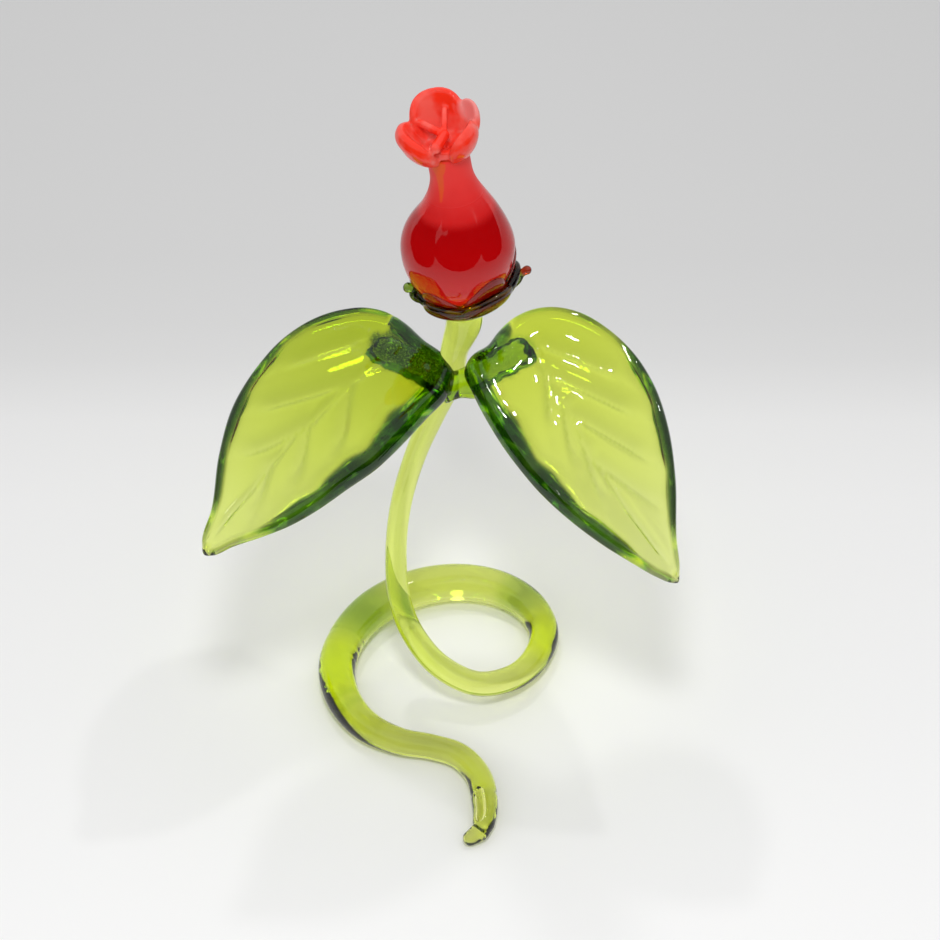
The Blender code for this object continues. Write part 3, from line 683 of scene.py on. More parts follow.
def leaf_heights(leaf, plan, loop):
    """Heights of the top and the underside over the plan, with the place and strength of the edge bead."""
    along, across = plan[:, 0], plan[:, 1]
    from_edge, _ = to_path(plan, loop)
    share = np.clip(along / LEAF_LENGTH, 0, 1)
    full = LEAF_THICKNESS + (TIP_THICKNESS - LEAF_THICKNESS) * share
    rim = np.interp(along, *np.array(leaf["rim"]).T) * np.clip(across / MIDDLE_SOFT, 0, 1)
    far_rim = np.interp(along, *np.array(leaf["far_rim"]).T) * np.clip(-across / MIDDLE_SOFT, 0, 1)
    wobble = 1 + 0.13 * np.sin(0.42 * along + 1.0) + 0.04 * np.sin(0.93 * along)
    width = (rim + far_rim) * wobble + 0.05
    bead = np.exp(-((np.clip(from_edge - BEAD_INSET, 0, None) / (0.75 * width)) ** 2))
    full = full + BEAD_EXTRA * bead * np.clip(width / 3.0, 0, 1)
    inset = np.clip(from_edge / (0.5 * full), 0, 1)
    half = 0.5 * full * np.sqrt(1 - (1 - inset) ** 2)
    groove = np.zeros(len(plan))
    crease = np.zeros(len(plan))
    for k, vein in enumerate((leaf["midrib"],) + leaf["veins"]):
        away, side = to_path(plan, smooth_through(vein, 1.0))
        depth, steep, soft = MIDRIB_FORM if k == 0 else VEIN_FORM
        reach = np.where(side > 0, steep, soft)
        ends = np.array(vein)[[0, -1]]
        fade = np.clip(np.linalg.norm(plan - ends[1], axis=1) / VEIN_FADE, 0, 1)
        groove = np.maximum(groove, depth * fade * np.exp(-((away / reach) ** 2)))
        # Painted shade along each crease, darker on its steep side.
        line = np.where(side > 0, 1.0, 0.55) * fade * np.exp(-((away / (1.5 * reach)) ** 2))
        crease = np.maximum(crease, line)
    off_rim = np.clip(from_edge / 2.0 - 0.6, 0, 1)
    groove *= off_rim
    crease *= off_rim
    to_stalk, _ = to_path(plan, np.array(leaf["stalk"]))
    lumpy = STALK_RADIUS * (1 + 0.05 * np.sin(1.3 * across) + 0.05 * np.sin(1.7 * along + 1.0))
    rod = np.sqrt(np.clip(lumpy**2 - to_stalk**2, 0, None))
    inward = np.sqrt(np.clip(from_edge / EDGE_ROUND, 0, 1))
    lift = leaf_lift(along, across)
    tip = np.linalg.norm(plan - np.array(TIP_BALL_AT), axis=1)
    ball = np.sqrt(np.clip(TIP_BALL_RADIUS**2 - tip**2, 0, None)) * inward
    top = lift + np.maximum(np.maximum(half - groove, (rod - STALK_DROP) * inward), ball)
    rod_below = (rod + np.where(rod > 0, STALK_DROP, 0.0)) * inward
    under = lift - np.maximum(np.maximum(half, rod_below), ball)
    # Painted shade along the edge, as wide as the rim.
    dark = np.clip(width / 1.2, 0, 1) * (1 - 1 / (1 + np.exp(-(from_edge - width) / RIM_SOFT)))
    # Painted shade on the stalk, ragged where it meets the blade.
    ragged = 1.25 + 0.22 * np.sin(1.1 * along + 0.5) * np.cos(0.9 * across) + 0.1 * np.sin(2.9 * across)
    near_stalk = np.clip(2.4 * (ragged - to_stalk / STALK_RADIUS), 0, 1)
    return top, under, from_edge, dark, near_stalk, crease


print("leaf surface:", ROWS, "rows of", 2 * COLUMNS, "points")

# %% [markdown]
# The leaf glass is close to the stem's. Painted shade makes it nearly black along the thick near edge,
# with painted light in vivid streaks there, darkens each crease on its steep side, and mottles the stalk
# around lighter green windows of painted light. Thickness alone would darken the edge evenly, so the tones
# are laid on by the distances that the surface was made from.

# %% Leaves
# The painted shade of the edge over its noise, nearly black, with painted light in its brightest streaks.
EDGE_SHADE_TONES = (
    (0.0, (0.005, 0.02, 0.005)),
    (0.53, (0.01, 0.05, 0.006)),
    (0.60, (0.10, 0.42, 0.01)),
    (0.68, (0.70, 0.97, 0.04)),
)


def leaf_matrix(leaf):
    """How the pressed leaf is turned, with the end of its stalk held at the knot."""
    heading, droop, roll = (math.radians(a) for a in leaf["turn"])
    flat = math.cos(droop)
    along = Vector((math.cos(heading) * flat, math.sin(heading) * flat, -math.sin(droop)))
    level = Vector((0, 0, 1)).cross(along).normalized()
    up = along.cross(level)
    lean = leaf["side"] * roll
    across = math.cos(lean) * level + math.sin(lean) * up
    turned = Matrix((along, across, along.cross(across))).transposed()
    end = leaf["stalk"][1]
    own_end = Vector((end[0], leaf["side"] * end[1], -STALK_DROP))
    place = KNOT_CENTRE + Vector(leaf["stalk_offset"]) - turned @ own_end
    return turned, place + FLOWER_AT


def leaf_glass(name, density, base_colour, stalk_shade_colour):
    """Clear green glass with painted shade on its edge, creases and stalk, and painted light in streaks on
    the edge.
    """
    made, shader, nodes, links = glass(name, (0.885, 0.962, 0.0), density)
    rough = noise(nodes, links, 1.0, 4.0, field(nodes, "edge place", "Vector"), distortion=0.6)
    streaks = ramp(nodes, links, rough, EDGE_SHADE_TONES)
    lumps = noise(nodes, links, 260.0, 2.0)
    patches = ramp(nodes, links, lumps, ((0.55, stalk_shade_colour), (0.62, (0.45, 0.75, 0.05))))
    # Painted shade on the creases, the edge and the stalk, with painted light in the edge's streaks and the
    # stalk's green windows.
    shade = mixed(nodes, links, field(nodes, "base share"), (1.0, 1.0, 1.0), base_colour)
    shade = mixed(nodes, links, field(nodes, "painted crease shade"), shade, (0.62, 0.72, 0.12))
    shade = mixed(nodes, links, field(nodes, "painted edge shade"), shade, streaks)
    shade = mixed(nodes, links, field(nodes, "painted stalk shade"), shade, patches)
    links.new(shade, shader.inputs["Base Color"])
    return made


def build_leaf(name, leaf, look):
    """One pressed leaf in its place, with the values that its glass reads."""
    rings, is_top, loop = leaf_plane(leaf)
    count, sides = rings.shape[0], rings.shape[1]
    plan = rings.reshape(-1, 2)
    top, under, from_edge, dark, near_stalk, crease = leaf_heights(leaf, plan, loop)
    on_top = np.tile(is_top, count) > 0.5
    height = np.where(on_top, top, under)
    turned, place = leaf_matrix(leaf)
    local = np.c_[plan[:, 0], leaf["side"] * plan[:, 1], height]
    points = local @ np.array(turned).T + np.array(place)
    made = glass_mesh(name, points, ring_faces(count, sides), look)
    point_values(made, "painted edge shade", dark)
    point_values(made, "painted stalk shade", np.where(on_top, *leaf["stalk_shade"]) * near_stalk)
    point_values(made, "painted crease shade", np.where(on_top, 0.85, 0.0) * crease)
    point_values(made, "base share", np.clip(1 - plan[:, 0] / 50.0, 0, 1))
    edge_place = np.c_[0.16 * plan[:, 0], 0.9 * from_edge, 0.3 * np.ones(len(plan))]
    point_values(made, "edge place", edge_place, "FLOAT_VECTOR")
    print(name, ":", len(made.data.polygons), "faces")
    return made


left_look = leaf_glass("left leaf green glass", 640.0, (0.72, 0.76, 0.03), (0.015, 0.04, 0.008))
right_look = leaf_glass("right leaf green glass", 520.0, (0.95, 0.98, 0.28), (0.18, 0.36, 0.03))
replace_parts(build_leaf("left_leaf", LEFT, left_look), "leaf_left")
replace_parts(build_leaf("right_leaf", RIGHT, right_look), "leaf_right")

# %% [markdown]
# The bud is a round body of red glass that narrows to a neck and leans a little to the left. A screw
# modifier turns an outline round a straight axis. The outline is turned by a function instead, because this
# axis is bent, and because the calyx can use the same function with an outline that changes on its way.

# %% Shape of the bud
BUD_RADIUS = 11.5
BUD_WAIST = 13.0
NECK_RADIUS = 4.2
NECK_HEIGHT = 31.0
BUD_HEIGHT = 35.0
DIVISIONS = 120


def bud_radius(height):
    """Half an ellipse below the widest point, and a bell curve from there to the neck."""
    if height <= BUD_WAIST:
        return BUD_RADIUS * math.sqrt(max(1 - ((BUD_WAIST - height) / BUD_WAIST) ** 2, 0.0))
    share = min((height - BUD_WAIST) / (NECK_HEIGHT - BUD_WAIST), 1.0)
    return NECK_RADIUS + (BUD_RADIUS - NECK_RADIUS) * 0.5 * (1 + math.cos(math.pi * share))


def turned_solid(outlines):
    """Points and faces round the bud's axis, from one closed (radius, height) outline for each azimuth."""
    count, along = len(outlines), len(outlines[0])
    points = []
    for i, outline in enumerate(outlines):
        points += [BUD_BASE + FLOWER_AT + on_axis(r, 360.0 * i / count, h) for r, h in outline]
    faces = []
    for i in range(count):
        j = (i + 1) % count
        for k in range(along - 1):
            faces.append((i * along + k, j * along + k, j * along + k + 1, i * along + k + 1))
    faces.append(tuple(i * along for i in range(count))[::-1])
    faces.append(tuple(i * along + along - 1 for i in range(count)))
    return points, faces


heights = [BUD_WAIST * (1 - math.cos(a)) for a in np.radians(np.linspace(20, 90, 26))]
heights += list(np.linspace(BUD_WAIST, NECK_HEIGHT, 44)[1:])
heights += list(np.linspace(NECK_HEIGHT, BUD_HEIGHT, 11)[1:])
print("bud:", len(heights), "rings of", DIVISIONS, "points, widest at", BUD_WAIST, "mm")

# %% [markdown]
# The red is opal glass, which lets little light through. It could be a clear glass with cloud inside, but
# that is slow and noisy. It is coloured on its surface instead, with a little light spread under it, and
# its polish mirrors the bright ceiling and the dark cards. A drip of orange ran down the neck.

# %% Bud
# The colour of the bud by its share of the height.
BUD_TONES = (
    (0.14, (0.98, 0.020, 0.006)),
    (0.26, (0.58, 0.004, 0.005)),
    (0.42, (0.44, 0.001, 0.002)),
    (0.61, (0.38, 0.001, 0.002)),
    (0.67, (0.60, 0.016, 0.016)),
    (0.78, (0.70, 0.018, 0.016)),
    (0.88, (0.76, 0.018, 0.014)),
    (1.0, (0.78, 0.02, 0.015)),
)

bud_look, shader, nodes, links = new_material("opal red glass")
settle(
    shader,
    {
        "IOR": 1.46,
        "Subsurface Weight": 0.25,
        "Subsurface Radius": (1.0, 0.12, 0.08),
        "Subsurface Scale": 0.004,
    },
)
height_share = field(nodes, "bud height")
tone = ramp(nodes, links, height_share, BUD_TONES)
tone.node.color_ramp.interpolation = "EASE"
bud_tone = mixed(nodes, links, field(nodes, "drip"), tone, (0.72, 0.07, 0.0))
links.new(bud_tone, shader.inputs["Base Color"])
# The glass is polished up to its shoulder, and duller above it.
dull = mapped(nodes, links, height_share, 0.62, 0.82, 0.02, 0.45, smooth=True)
links.new(dull, shader.inputs["Roughness"])
bud_points, bud_faces = turned_solid([[(bud_radius(h), h) for h in heights]] * DIVISIONS)
bud = glass_mesh("bud_body", bud_points, bud_faces, bud_look)
point_values(bud, "bud height", np.tile(np.array(heights) / BUD_HEIGHT, DIVISIONS))
# A drip of orange glass ran down the neck from the petals: its half width in mm by height, and its place.
DRIP_AT = 241.0
DRIP_SOFT = 0.3
DRIP = ((26.5, 0.15), (29.0, 0.55), (32.0, 0.8), (33.3, 1.5), (34.6, 1.7), (35.0, 1.2))
half_width = np.interp(heights, *np.array(DRIP).T, left=-1.0)
azimuths = np.radians(np.arange(DIVISIONS) * 360.0 / DIVISIONS - DRIP_AT)
arc = azimuths[:, None] * np.array([bud_radius(h) for h in heights])
point_values(bud, "drip", np.clip((half_width - np.abs(arc)) / DRIP_SOFT + 0.5, 0, 1))
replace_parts(bud, "bud")
print("bud:", len(bud.data.polygons), "faces")

# %% [markdown]
# The calyx is a cup of green glass wound round the base of the bud and pulled up into sepals, which are
# melted onto the red. Green over red looks brown. Its lip is a rolled bead that dips between the sepals,
# and two sepals were drawn out into points that end in small beads. The cup could be a turned ring with
# sepals stuck on, but their seams would show in clear glass. It is one turned skin whose outline changes
# on its way round: it rises at each sepal and sinks between them.

# %% Shape of the calyx
# Each sepal: (azimuth, half spread in degrees, height of its tip).
SEPALS = (
    (5.0, 26.0, 10.5),
    (62.0, 30.0, 9.5),
    (122.0, 30.0, 9.5),
    (182.0, 26.0, 9.0),
    (236.0, 34.0, 8.6),
    (306.0, 36.0, 9.6),
)
LIP_HEIGHT = 3.2
LIP_TILT = 1.4
LIP_WALL = 2.4
LIP_GAP = 0.5
SEPAL_THICKNESS = 0.62
# The sepal's back lies this deep in the bud, so that no air is left between them.
SEPAL_BACK = 0.15
CALYX_DIVISIONS = 180


def lobe(azimuth, centre, spread):
    """1 at the centre of a sepal, falling to 0 at its sides."""
    away = abs((azimuth - centre + 180.0) % 360.0 - 180.0) / spread
    return 0.5 * (1 + math.cos(math.pi * away)) if away < 1 else 0.0


def calyx_outline(azimuth):
    """Half section of the calyx: floor, rolled lip, a thin sepal that lies on the bud, and its back."""
    rise = max(lobe(azimuth, c, w) ** 0.6 * (top - LIP_HEIGHT) for c, w, top in SEPALS)
    lip = LIP_HEIGHT + LIP_TILT * math.cos(math.radians(azimuth)) + 0.25 * rise
    crest = lip + 0.8 + 0.65 * rise
    outline = [(STEM_TOP_RADIUS, -CALYX_FLOOR)]
    rim = bud_radius(lip) + LIP_WALL
    for share in np.linspace(0.1, 0.86, 9):
        h = -CALYX_FLOOR + share * (lip + CALYX_FLOOR)
        outline.append((STEM_TOP_RADIUS + (rim - STEM_TOP_RADIUS) * math.sin(0.5 * math.pi * share), h))
    roll = 0.5 * (LIP_WALL - LIP_GAP)
    middle = bud_radius(lip) + LIP_GAP + roll
    for angle in (0, 25, 50, 75, 100, 125, 150):
        a = math.radians(angle)
        outline.append((middle + roll * math.cos(a), lip - 0.2 + roll * math.sin(a)))
    start = lip + 0.45
    for share in (0.1, 0.3, 0.5, 0.7, 0.85, 0.95, 1.0):
        h = start + share * max(crest - start, 0.1)
        outline.append((bud_radius(h) + SEPAL_THICKNESS * (1 - share**3) + 0.02, h))
    for share in (0.98, 0.8, 0.6, 0.4, 0.2, 0.05):
        h = share * crest
        outline.append((bud_radius(h) - SEPAL_BACK, h))
    outline.append((bud_radius(0.04 * crest) * 0.9, -0.3))
    return outline


outlines = [calyx_outline(360.0 * i / CALYX_DIVISIONS) for i in range(CALYX_DIVISIONS)]
print("calyx outline:", len(outlines[0]), "points, turned in", CALYX_DIVISIONS, "steps")

# %% [markdown]
# The cup's colour goes from near black through brown to green in bands that run round it, and the thin
# sepals look orange over the red, with painted shade that turns them brown at their top edge. The bands
# could be painted. They are noise that is stretched round the cup, mixed with the sepals' tones by the
# place on the outline.

# %% Calyx
CALYX_TONES = (
    (0.37, (0.08, 0.04, 0.015)),
    (0.46, (0.42, 0.22, 0.05)),
    (0.55, (0.55, 0.52, 0.12)),
    (0.62, (0.20, 0.70, 0.04)),
)
# The sepals are orange over the red, and painted shade turns them brown at their top edge.
SEPAL_TONES_WITH_EDGE_SHADE = ((0.5, (1.0, 0.60, 0.04)), (0.85, (1.0, 0.45, 0.0)), (1.0, (0.60, 0.16, 0.0)))
calyx_look, shader, nodes, links = glass("green glass over red", (0.90, 0.86, 0.05), 380.0)
winding = noise(nodes, links, 1.0, 2.0, field(nodes, "calyx place", "Vector"))
patches = ramp(nodes, links, winding, CALYX_TONES)
share = field(nodes, "sepal share")
sepals = ramp(nodes, links, share, SEPAL_TONES_WITH_EDGE_SHADE)
calyx_tone = mixed(nodes, links, mapped(nodes, links, share, 0.0, 0.5), patches, sepals)
links.new(calyx_tone, shader.inputs["Base Color"])
calyx_points, calyx_faces = turned_solid(outlines)
calyx = glass_mesh("calyx_cup", calyx_points, calyx_faces, calyx_look)
# The outline holds 10 points of floor and side, 7 of lip and 7 of sepal, and the rest is the sepal's back.
sepal_share = np.full(len(outlines[0]), 0.5)
sepal_share[:15] = 0.0
sepal_share[15:17] = (0.15, 0.3)
# The top edge of each sepal gets the most painted shade.
sepal_share[21:25] = (0.7, 0.9, 1.0, 1.0)
point_values(calyx, "sepal share", np.tile(sepal_share, CALYX_DIVISIONS))
winds = np.repeat(np.arange(CALYX_DIVISIONS), len(sepal_share))
winds = np.radians(360.0 / CALYX_DIVISIONS * winds)
down = np.tile(0.45 * np.arange(len(sepal_share)), CALYX_DIVISIONS)
calyx_place = np.c_[down, 1.3 * np.cos(winds), 1.3 * np.sin(winds)]
point_values(calyx, "calyx place", calyx_place, "FLOAT_VECTOR")
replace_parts(calyx, "calyx")
print("calyx:", len(calyx.data.polygons), "faces")

# %% [markdown]
# The two drawn points are thin threads of glass, pulled out and cut in the flame, which leaves a bead at
# the end. They could be cones with balls on them. Each is swept as a rod along a short curve instead, so
# that its bead grows out of its neck without a seam. The bead on the right is red.

# %% Drawn points
# Each drawn point: (azimuth, reach beyond the bud, height, radius of its bead).
SEPAL_POINTS = ((3.0, 3.8, 5.5, 0.95), (187.0, 1.6, 4.6, 1.1))
POINT_SIDES = 24
RED_LENGTH = 2.4
point_look, shader, nodes, links = glass("dark sepal glass", (0.72, 0.78, 0.45), 900.0)
point_tone = mixed(nodes, links, field(nodes, "bead"), (0.40, 0.55, 0.12), (0.62, 0.05, 0.03))
links.new(point_tone, shader.inputs["Base Color"])
for k, (azimuth, reach, height, bead) in enumerate(SEPAL_POINTS):
    root_height = 0.35 * height
    root = on_axis(bud_radius(root_height) + 1.5, azimuth, root_height)
    end_at = bud_radius(height) + 0.3 + reach
    bulge = 0.5 * (bud_radius(root_height) + 1.5 + end_at) + 0.6
    middle = on_axis(bulge, azimuth, 0.5 * (root_height + height))
    neck = on_axis(end_at - 0.9, azimuth, height - 0.5)
    end = on_axis(end_at, azimuth, height)
    way = smooth_through(((*root, 1.7), (*middle, 1.35), (*neck, 0.8), (*end, bead)), 0.2, space=3)
    way[:, :3] += np.array(BUD_BASE + FLOWER_AT)
    way = rounded(rounded(way)[::-1])
    sepal_point = glass_mesh(f"sepal_point_{k}", *swept(way, POINT_SIDES), point_look)
    from_end = np.linalg.norm(way[:, :3] - way[0, :3], axis=1)
    red = np.clip((RED_LENGTH - from_end) / 0.4, 0, 1) * (k == 0)
    point_values(sepal_point, "bead", np.repeat(red, POINT_SIDES))
    print("drawn point:", len(sepal_point.data.polygons), "faces")

# %% [markdown]
# The knot is a short barrel of the same green glass. It was melted between the two leaf stalks and onto
# the front of the stem, and it sagged a little wider at its ends. A scaled ball would do from afar. It is
# swept as a short rod, because its ends are cut flat inside the stalks and its waist shows.

# %% Knot
KNOT_LENGTH = 6.4
KNOT_SLANT = 1.2
KNOT_RADIUS = 3.3
KNOT_SAG = 0.3
KNOT_SIDES = 40
knot_stations = []
for share in np.linspace(-0.5, 0.5, 25):
    radius = KNOT_RADIUS - KNOT_SAG * math.cos(2 * math.pi * share)
    spot = KNOT_CENTRE + FLOWER_AT + Vector((share * KNOT_LENGTH, 0, share * KNOT_SLANT))
    knot_stations.append((*spot, radius))
knot_look, shader, nodes, links = glass("knot green glass", (0.84, 0.93, 0.0), 800.0)
knot = glass_mesh("knot_body", *swept(np.array(knot_stations), KNOT_SIDES), knot_look)
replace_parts(knot, "leaf_knot")
print("knot:", len(knot.data.polygons), "faces")

# %% [markdown]
# The mouth of the bud was squeezed hot into petals: thick lobes that fold over one another round a closed
# throat. They could be sculpted by hand. Each lobe is written here as a curled sheet instead, so that its
# reach, rise and curl are plain numbers.

# %% Petal sheets
# Each petal: (azimuth, half spread in degrees, reach, rise, curl of its lip, thickness).
PETALS = (
    (192.0, 58.0, 9.8, 8.4, 0.5, 3.2),
    (104.0, 64.0, 8.4, 11.5, 0.7, 2.7),
    (38.0, 36.0, 8.2, 9.0, 0.1, 1.8),
    (338.0, 62.0, 7.4, 7.4, -0.5, 2.5),
)
# How far from the axis the petals begin.
PETAL_ROOT = 2.6
# Shares of a petal's height: its lip curls out from the first, bends down from the second, and is rounded
# off from the third.
CURL_FROM, BEND_FROM, ROUND_FROM = 0.72, 0.8, 0.86


def petal_sheet(azimuth, spread, reach, rise, curl, thickness):
    """Points and faces of one closed lobe, rooted in the neck and thickest along its rolled lip."""
    across, up = 28, 22
    skin = []
    for face in (1, -1):
        for j in range(up + 1):
            t = j / up
            for i in range(across + 1):
                s = -1 + 2 * i / across
                lip = (1 - abs(s) ** 2.4) ** 0.5
                run = t * (0.25 + 0.75 * lip)
                flare = math.sin(0.5 * math.pi * run) ** 0.9
                radius = PETAL_ROOT + (reach - thickness / 2 - PETAL_ROOT) * flare
                height = BUD_HEIGHT - 0.6 + (rise - thickness / 2 + 0.6) * run**1.25
                radius += curl * 1.6 * max(run - CURL_FROM, 0.0) ** 1.2 * 3
                height -= abs(curl) * 1.4 * max(run - BEND_FROM, 0.0) ** 1.5 * 3
                swell = 0.72 + 0.28 * math.sin(math.pi * t) + 0.25 * max(t - 0.7, 0)
                body = 0.5 * thickness * swell
                body *= math.sqrt(max(1 - max((t - ROUND_FROM) / (1 - ROUND_FROM), 0.0) ** 2, 0.0))
                body *= math.sqrt(max(1 - s**6, 0.0)) * 0.999 + 0.001
                radius += face * 0.75 * body
                height -= face * 0.65 * body
                skin.append(on_axis(radius, azimuth + s * spread, height))
    stride = across + 1
    layer = stride * (up + 1)
    faces = []
    for j in range(up):
        for i in range(across):
            a = j * stride + i
            faces.append((a, a + 1, a + stride + 1, a + stride))
            faces.append((layer + a, layer + a + stride, layer + a + stride + 1, layer + a + 1))
    edge = list(range(stride))
    edge += [j * stride + across for j in range(1, up + 1)]
    edge += [up * stride + i for i in range(across - 1, -1, -1)]
    edge += [j * stride for j in range(up - 1, 0, -1)]
    for a, b in zip(edge, edge[1:] + edge[:1]):
        faces.append((a, layer + a, layer + b, b))
    return skin, faces


points, faces = [], []
for petal in PETALS:
    more, more_faces = petal_sheet(*petal)
    faces += [tuple(k + len(points) for k in f) for f in more_faces]
    points += more
print("petal sheets:", len(PETALS), "with", len(points), "points")

# %% [markdown]
# Between the petals the glass closed into a low dome, with ridges where it was pinched together. They could
# be left to the petals' own overlap, but then the neck would stand open. The dome is a row of rings, and
# each ridge is a short rod that bends down from the middle.

# %% Throat
THROAT_RADIUS = 4.1
THROAT_SIDES = 40
RIDGE_SIDES = 16
# Each ridge: (azimuth, height at the wall, radius).
RIDGES = ((250.0, 3.6, 1.1), (154.0, 5.6, 0.8), (84.0, 6.4, 0.6))
throat = [(THROAT_RADIUS, BUD_HEIGHT + 0.32)]
for share in np.sin(np.linspace(0.5 * math.pi, 0.03, 14)):
    throat.append((THROAT_RADIUS * share, BUD_HEIGHT + 0.2 + 2.6 * share * (1 - 0.55 * share) * 1.6))
ring = [on_axis(r, 360.0 * i / THROAT_SIDES, h) for r, h in throat for i in range(THROAT_SIDES)]
faces += [tuple(k + len(points) for k in f) for f in ring_faces(len(throat), THROAT_SIDES)]
points += ring
for azimuth, height, radius in RIDGES:
    course = ((0.0, 3.6), (2.6, 0.6 * height + 1.4), (4.8, height))
    ends = [on_axis(r, azimuth, BUD_HEIGHT + h) for r, h in course]
    way = smooth_through([(*e, radius) for e in ends], 0.3, space=3)
    more, more_faces = swept(rounded(rounded(way)[::-1]), RIDGE_SIDES)
    faces += [tuple(k + len(points) for k in f) for f in more_faces]
    points += [Vector(p) for p in more]
print("petals and throat:", len(points), "points before they are melted")

# %% [markdown]
# The torch melted the real petals into one another. Joining the sheets exactly would leave sharp creases, so
# a voxel remesh melts them into one skin and a smoothing softens it. The glass is a bright red that
# lets some light through, cloudy in places, and painted paler on the petal at the back on the right, as
# painted light shining through its thin glass.

# %% Petals
PETAL_VOXEL = 0.24
PETAL_TONES = ((0.40, (1.0, 0.035, 0.012)), (0.52, (1.0, 0.07, 0.045)), (0.64, (1.0, 0.13, 0.10)))
# Painted light: the petal at the back on the right is paler round this place, where light shines through it.
BACKLIT_PETAL = BUD_BASE + FLOWER_AT + on_axis(7.4, 33.0, BUD_HEIGHT + 6.6)
petal_look, shader, nodes, links = glass(
    "bright red glass",
    (0.95, 0.05, 0.03),
    260.0,
    through=0.2,
    roughness=0.03,
    colour=(1.0, 0.06, 0.035),
)
spot = nodes.new("ShaderNodeTexCoord").outputs["Object"]
reds = ramp(nodes, links, noise(nodes, links, 230.0, 2.0, spot), PETAL_TONES)
away = distance_from(nodes, links, spot, BACKLIT_PETAL * MM)
backlit_share = mapped(nodes, links, away, 0.0036, 0.0026)
links.new(mixed(nodes, links, backlit_share, reds, (0.95, 0.28, 0.26)), shader.inputs["Base Color"])
petals = glass_mesh("petal_ruffle", [p + BUD_BASE + FLOWER_AT for p in points], faces, petal_look)
melt = petals.modifiers.new("melt into one skin", "REMESH")
melt.mode = "VOXEL"
melt.voxel_size = PETAL_VOXEL * MM
melt.use_smooth_shade = True
soften = petals.modifiers.new("soften", "SMOOTH")
soften.factor = 0.6
soften.iterations = 5
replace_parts(petals, "petals")
graph = bpy.context.evaluated_depsgraph_get()
print("petals:", len(petals.evaluated_get(graph).to_mesh().polygons), "faces")

# %% [markdown]
# The table is pale paper that runs on behind the flower, with painted shade that darkens it towards the
# back, so that the picture shows a soft horizon. A lamp aimed at the front would do this too, but it would
# also fall on the glass, so the shade is painted into the paper's own colour.

# %% Table
TABLE_REACH = 3.0
# The grey of the paper with its painted shade, from in front of the flower (0) to far behind it (1).
PAINTED_PAPER_SHADE = (
    (0.0, 0.91),
    (0.18, 0.87),
    (0.35, 0.838),
    (0.43, 0.80),
    (0.50, 0.71),
    (0.54, 0.685),
    (0.62, 0.665),
    (0.78, 0.672),
    (1.0, 0.69),
)

corners = [(x * TABLE_REACH, y * TABLE_REACH, 0) for x, y in ((-1, -1), (1, -1), (1, 1), (-1, 1))]
floor_mesh = bpy.data.meshes.new("table")
floor_mesh.from_pydata(corners, [], [(0, 1, 2, 3)])
floor = bpy.data.objects.new("table", floor_mesh)
bpy.context.scene.collection.objects.link(floor)
paper, shader, nodes, links = new_material("white paper")
settle(shader, {"Roughness": 0.7, "Specular IOR Level": 0.2})
spot = nodes.new("ShaderNodeNewGeometry").outputs["Position"]
parts = nodes.new("ShaderNodeSeparateXYZ")
links.new(spot, parts.inputs["Vector"])
depth = mapped(nodes, links, parts.outputs["Y"], -0.07, 0.33)
tones = ramp(nodes, links, depth, [(at, (tone, tone, tone)) for at, tone in PAINTED_PAPER_SHADE])
# Clear glass throws light down round itself, and that light is painted into the paper as a paler pool.
from_flower = distance_from(nodes, links, spot, (0.0, 0.024, 0.0))
painted_light_pool = mapped(nodes, links, from_flower, 0.072, 0.015, smooth=True)
links.new(mixed(nodes, links, painted_light_pool, tones, (0.96, 0.96, 0.955)), shader.inputs["Base Color"])
floor_mesh.materials.append(paper)
print("table:", 2 * TABLE_REACH, "m wide")

# %% [markdown]
# Clear glass is drawn by what lies round it. Dark cards at the front and the sides, outside the picture,
# help the painted shade turn the thick edges of the leaves nearly black, and show as dark shapes in the
# polished bud. The edges could be painted black alone, but they would stay so when the flower turns.

# %% Dark cards
# Each card: its distance from the bud, and its outline as (azimuth from the front, elevation) from the bud.
CARDS = {
    "front_card": (
        420.0,
        (
            (54, 16), (55, 24), (40, 31), (5, 32), (-31, 29), (-50, 24),
            (-51, 15), (-40, 3), (-21, -10), (1, -15), (24, -10), (42, 3),
        ),
    ),
    "left_card": (
        285.0,
        (
            (-52, 22), (-62, 26), (-78, 24), (-93, 18), (-108, 12), (-118, 4),
            (-108, -5), (-96, -12), (-88, -20), (-68, -22), (-52, -17), (-45, -4),
        ),
    ),
    "right_card": (
        400.0,
        (
            (50, 22), (62, 26), (76, 25), (91, 19), (106, 13), (120, 8),
            (113, 3), (104, -2), (95, -7), (84, -9), (68, -9), (54, -4),
        ),
    ),
}
black, shader, nodes, links = new_material("black card")
settle(shader, {"Base Color": (0.01, 0.01, 0.01, 1), "Roughness": 0.9})
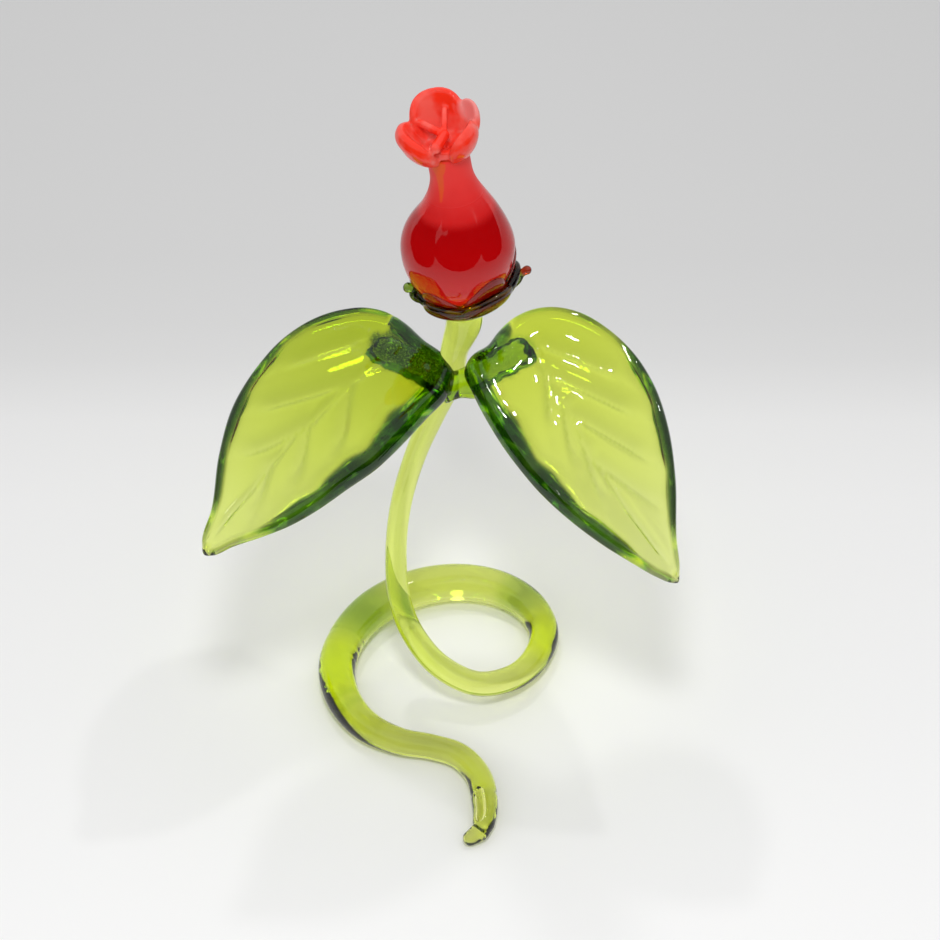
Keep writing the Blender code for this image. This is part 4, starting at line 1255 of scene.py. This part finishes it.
bud_middle = BUD_BASE + FLOWER_AT + Vector((0.0, 0.0, 20.0))
for name, (distance, outline) in CARDS.items():
    corners = smooth_through(outline, 3.0, closed=True)
    count = len(corners)
    points = []
    for azimuth, elevation in np.radians(np.vstack([corners, corners.mean(axis=0)])):
        way = Vector((math.sin(azimuth), -math.cos(azimuth), math.tan(elevation)))
        points.append(bud_middle + distance * way)
    mesh = bpy.data.meshes.new(name)
    mesh.from_pydata([p * MM for p in points], [], [(i, (i + 1) % count, count) for i in range(count)])
    mesh.materials.append(black)
    card = bpy.data.objects.new(name, mesh)
    bpy.context.scene.collection.objects.link(card)
    card.visible_camera = False
    card.visible_shadow = False
    card.visible_diffuse = False
print("cards:", ", ".join(CARDS))

# %% [markdown]
# The narrow lamps make the glints and the wide ones the soft shadows, and a bright ceiling does the rest.
# One large lamp could light it all, but then its glints on the glass would be as wide as the lamp.

# %% Lamps and ceiling
# Each lamp: its place above the table, its width, its power and whether the glass mirrors it.
LAMPS = {
    "main_lamp": ((-0.65, -219.8, 496.0), 90.0, 0.72, False),
    "glint_lamp": ((-0.65, -219.8, 490.0), 16.0, 0.04, True),
    "back_left_lamp": ((-78.0, 248.0, 496.0), 44.0, 0.26, False),
    "back_right_lamp": ((150.0, 110.0, 496.0), 24.0, 0.18, True),
}
for name, (place, width, power, mirrored) in LAMPS.items():
    lamp_data = bpy.data.lights.new(name, "AREA")
    lamp_data.shape = "DISK"
    lamp_data.size = width * MM
    lamp_data.energy = power
    lamp = bpy.data.objects.new(name, lamp_data)
    lamp.visible_glossy = mirrored
    bpy.context.scene.collection.objects.link(lamp)
    lamp.location = Vector(place) * MM
    lamp.rotation_euler = (Vector((0, 0, 0.04)) - lamp.location).to_track_quat("-Z", "Y").to_euler()

world = bpy.data.worlds.new("ceiling")
bpy.context.scene.world = world
world.use_nodes = True
settle(world.node_tree.nodes["Background"], {"Color": (1.0, 1.0, 1.0, 1), "Strength": 0.675})
print("lamps:", ", ".join(LAMPS))
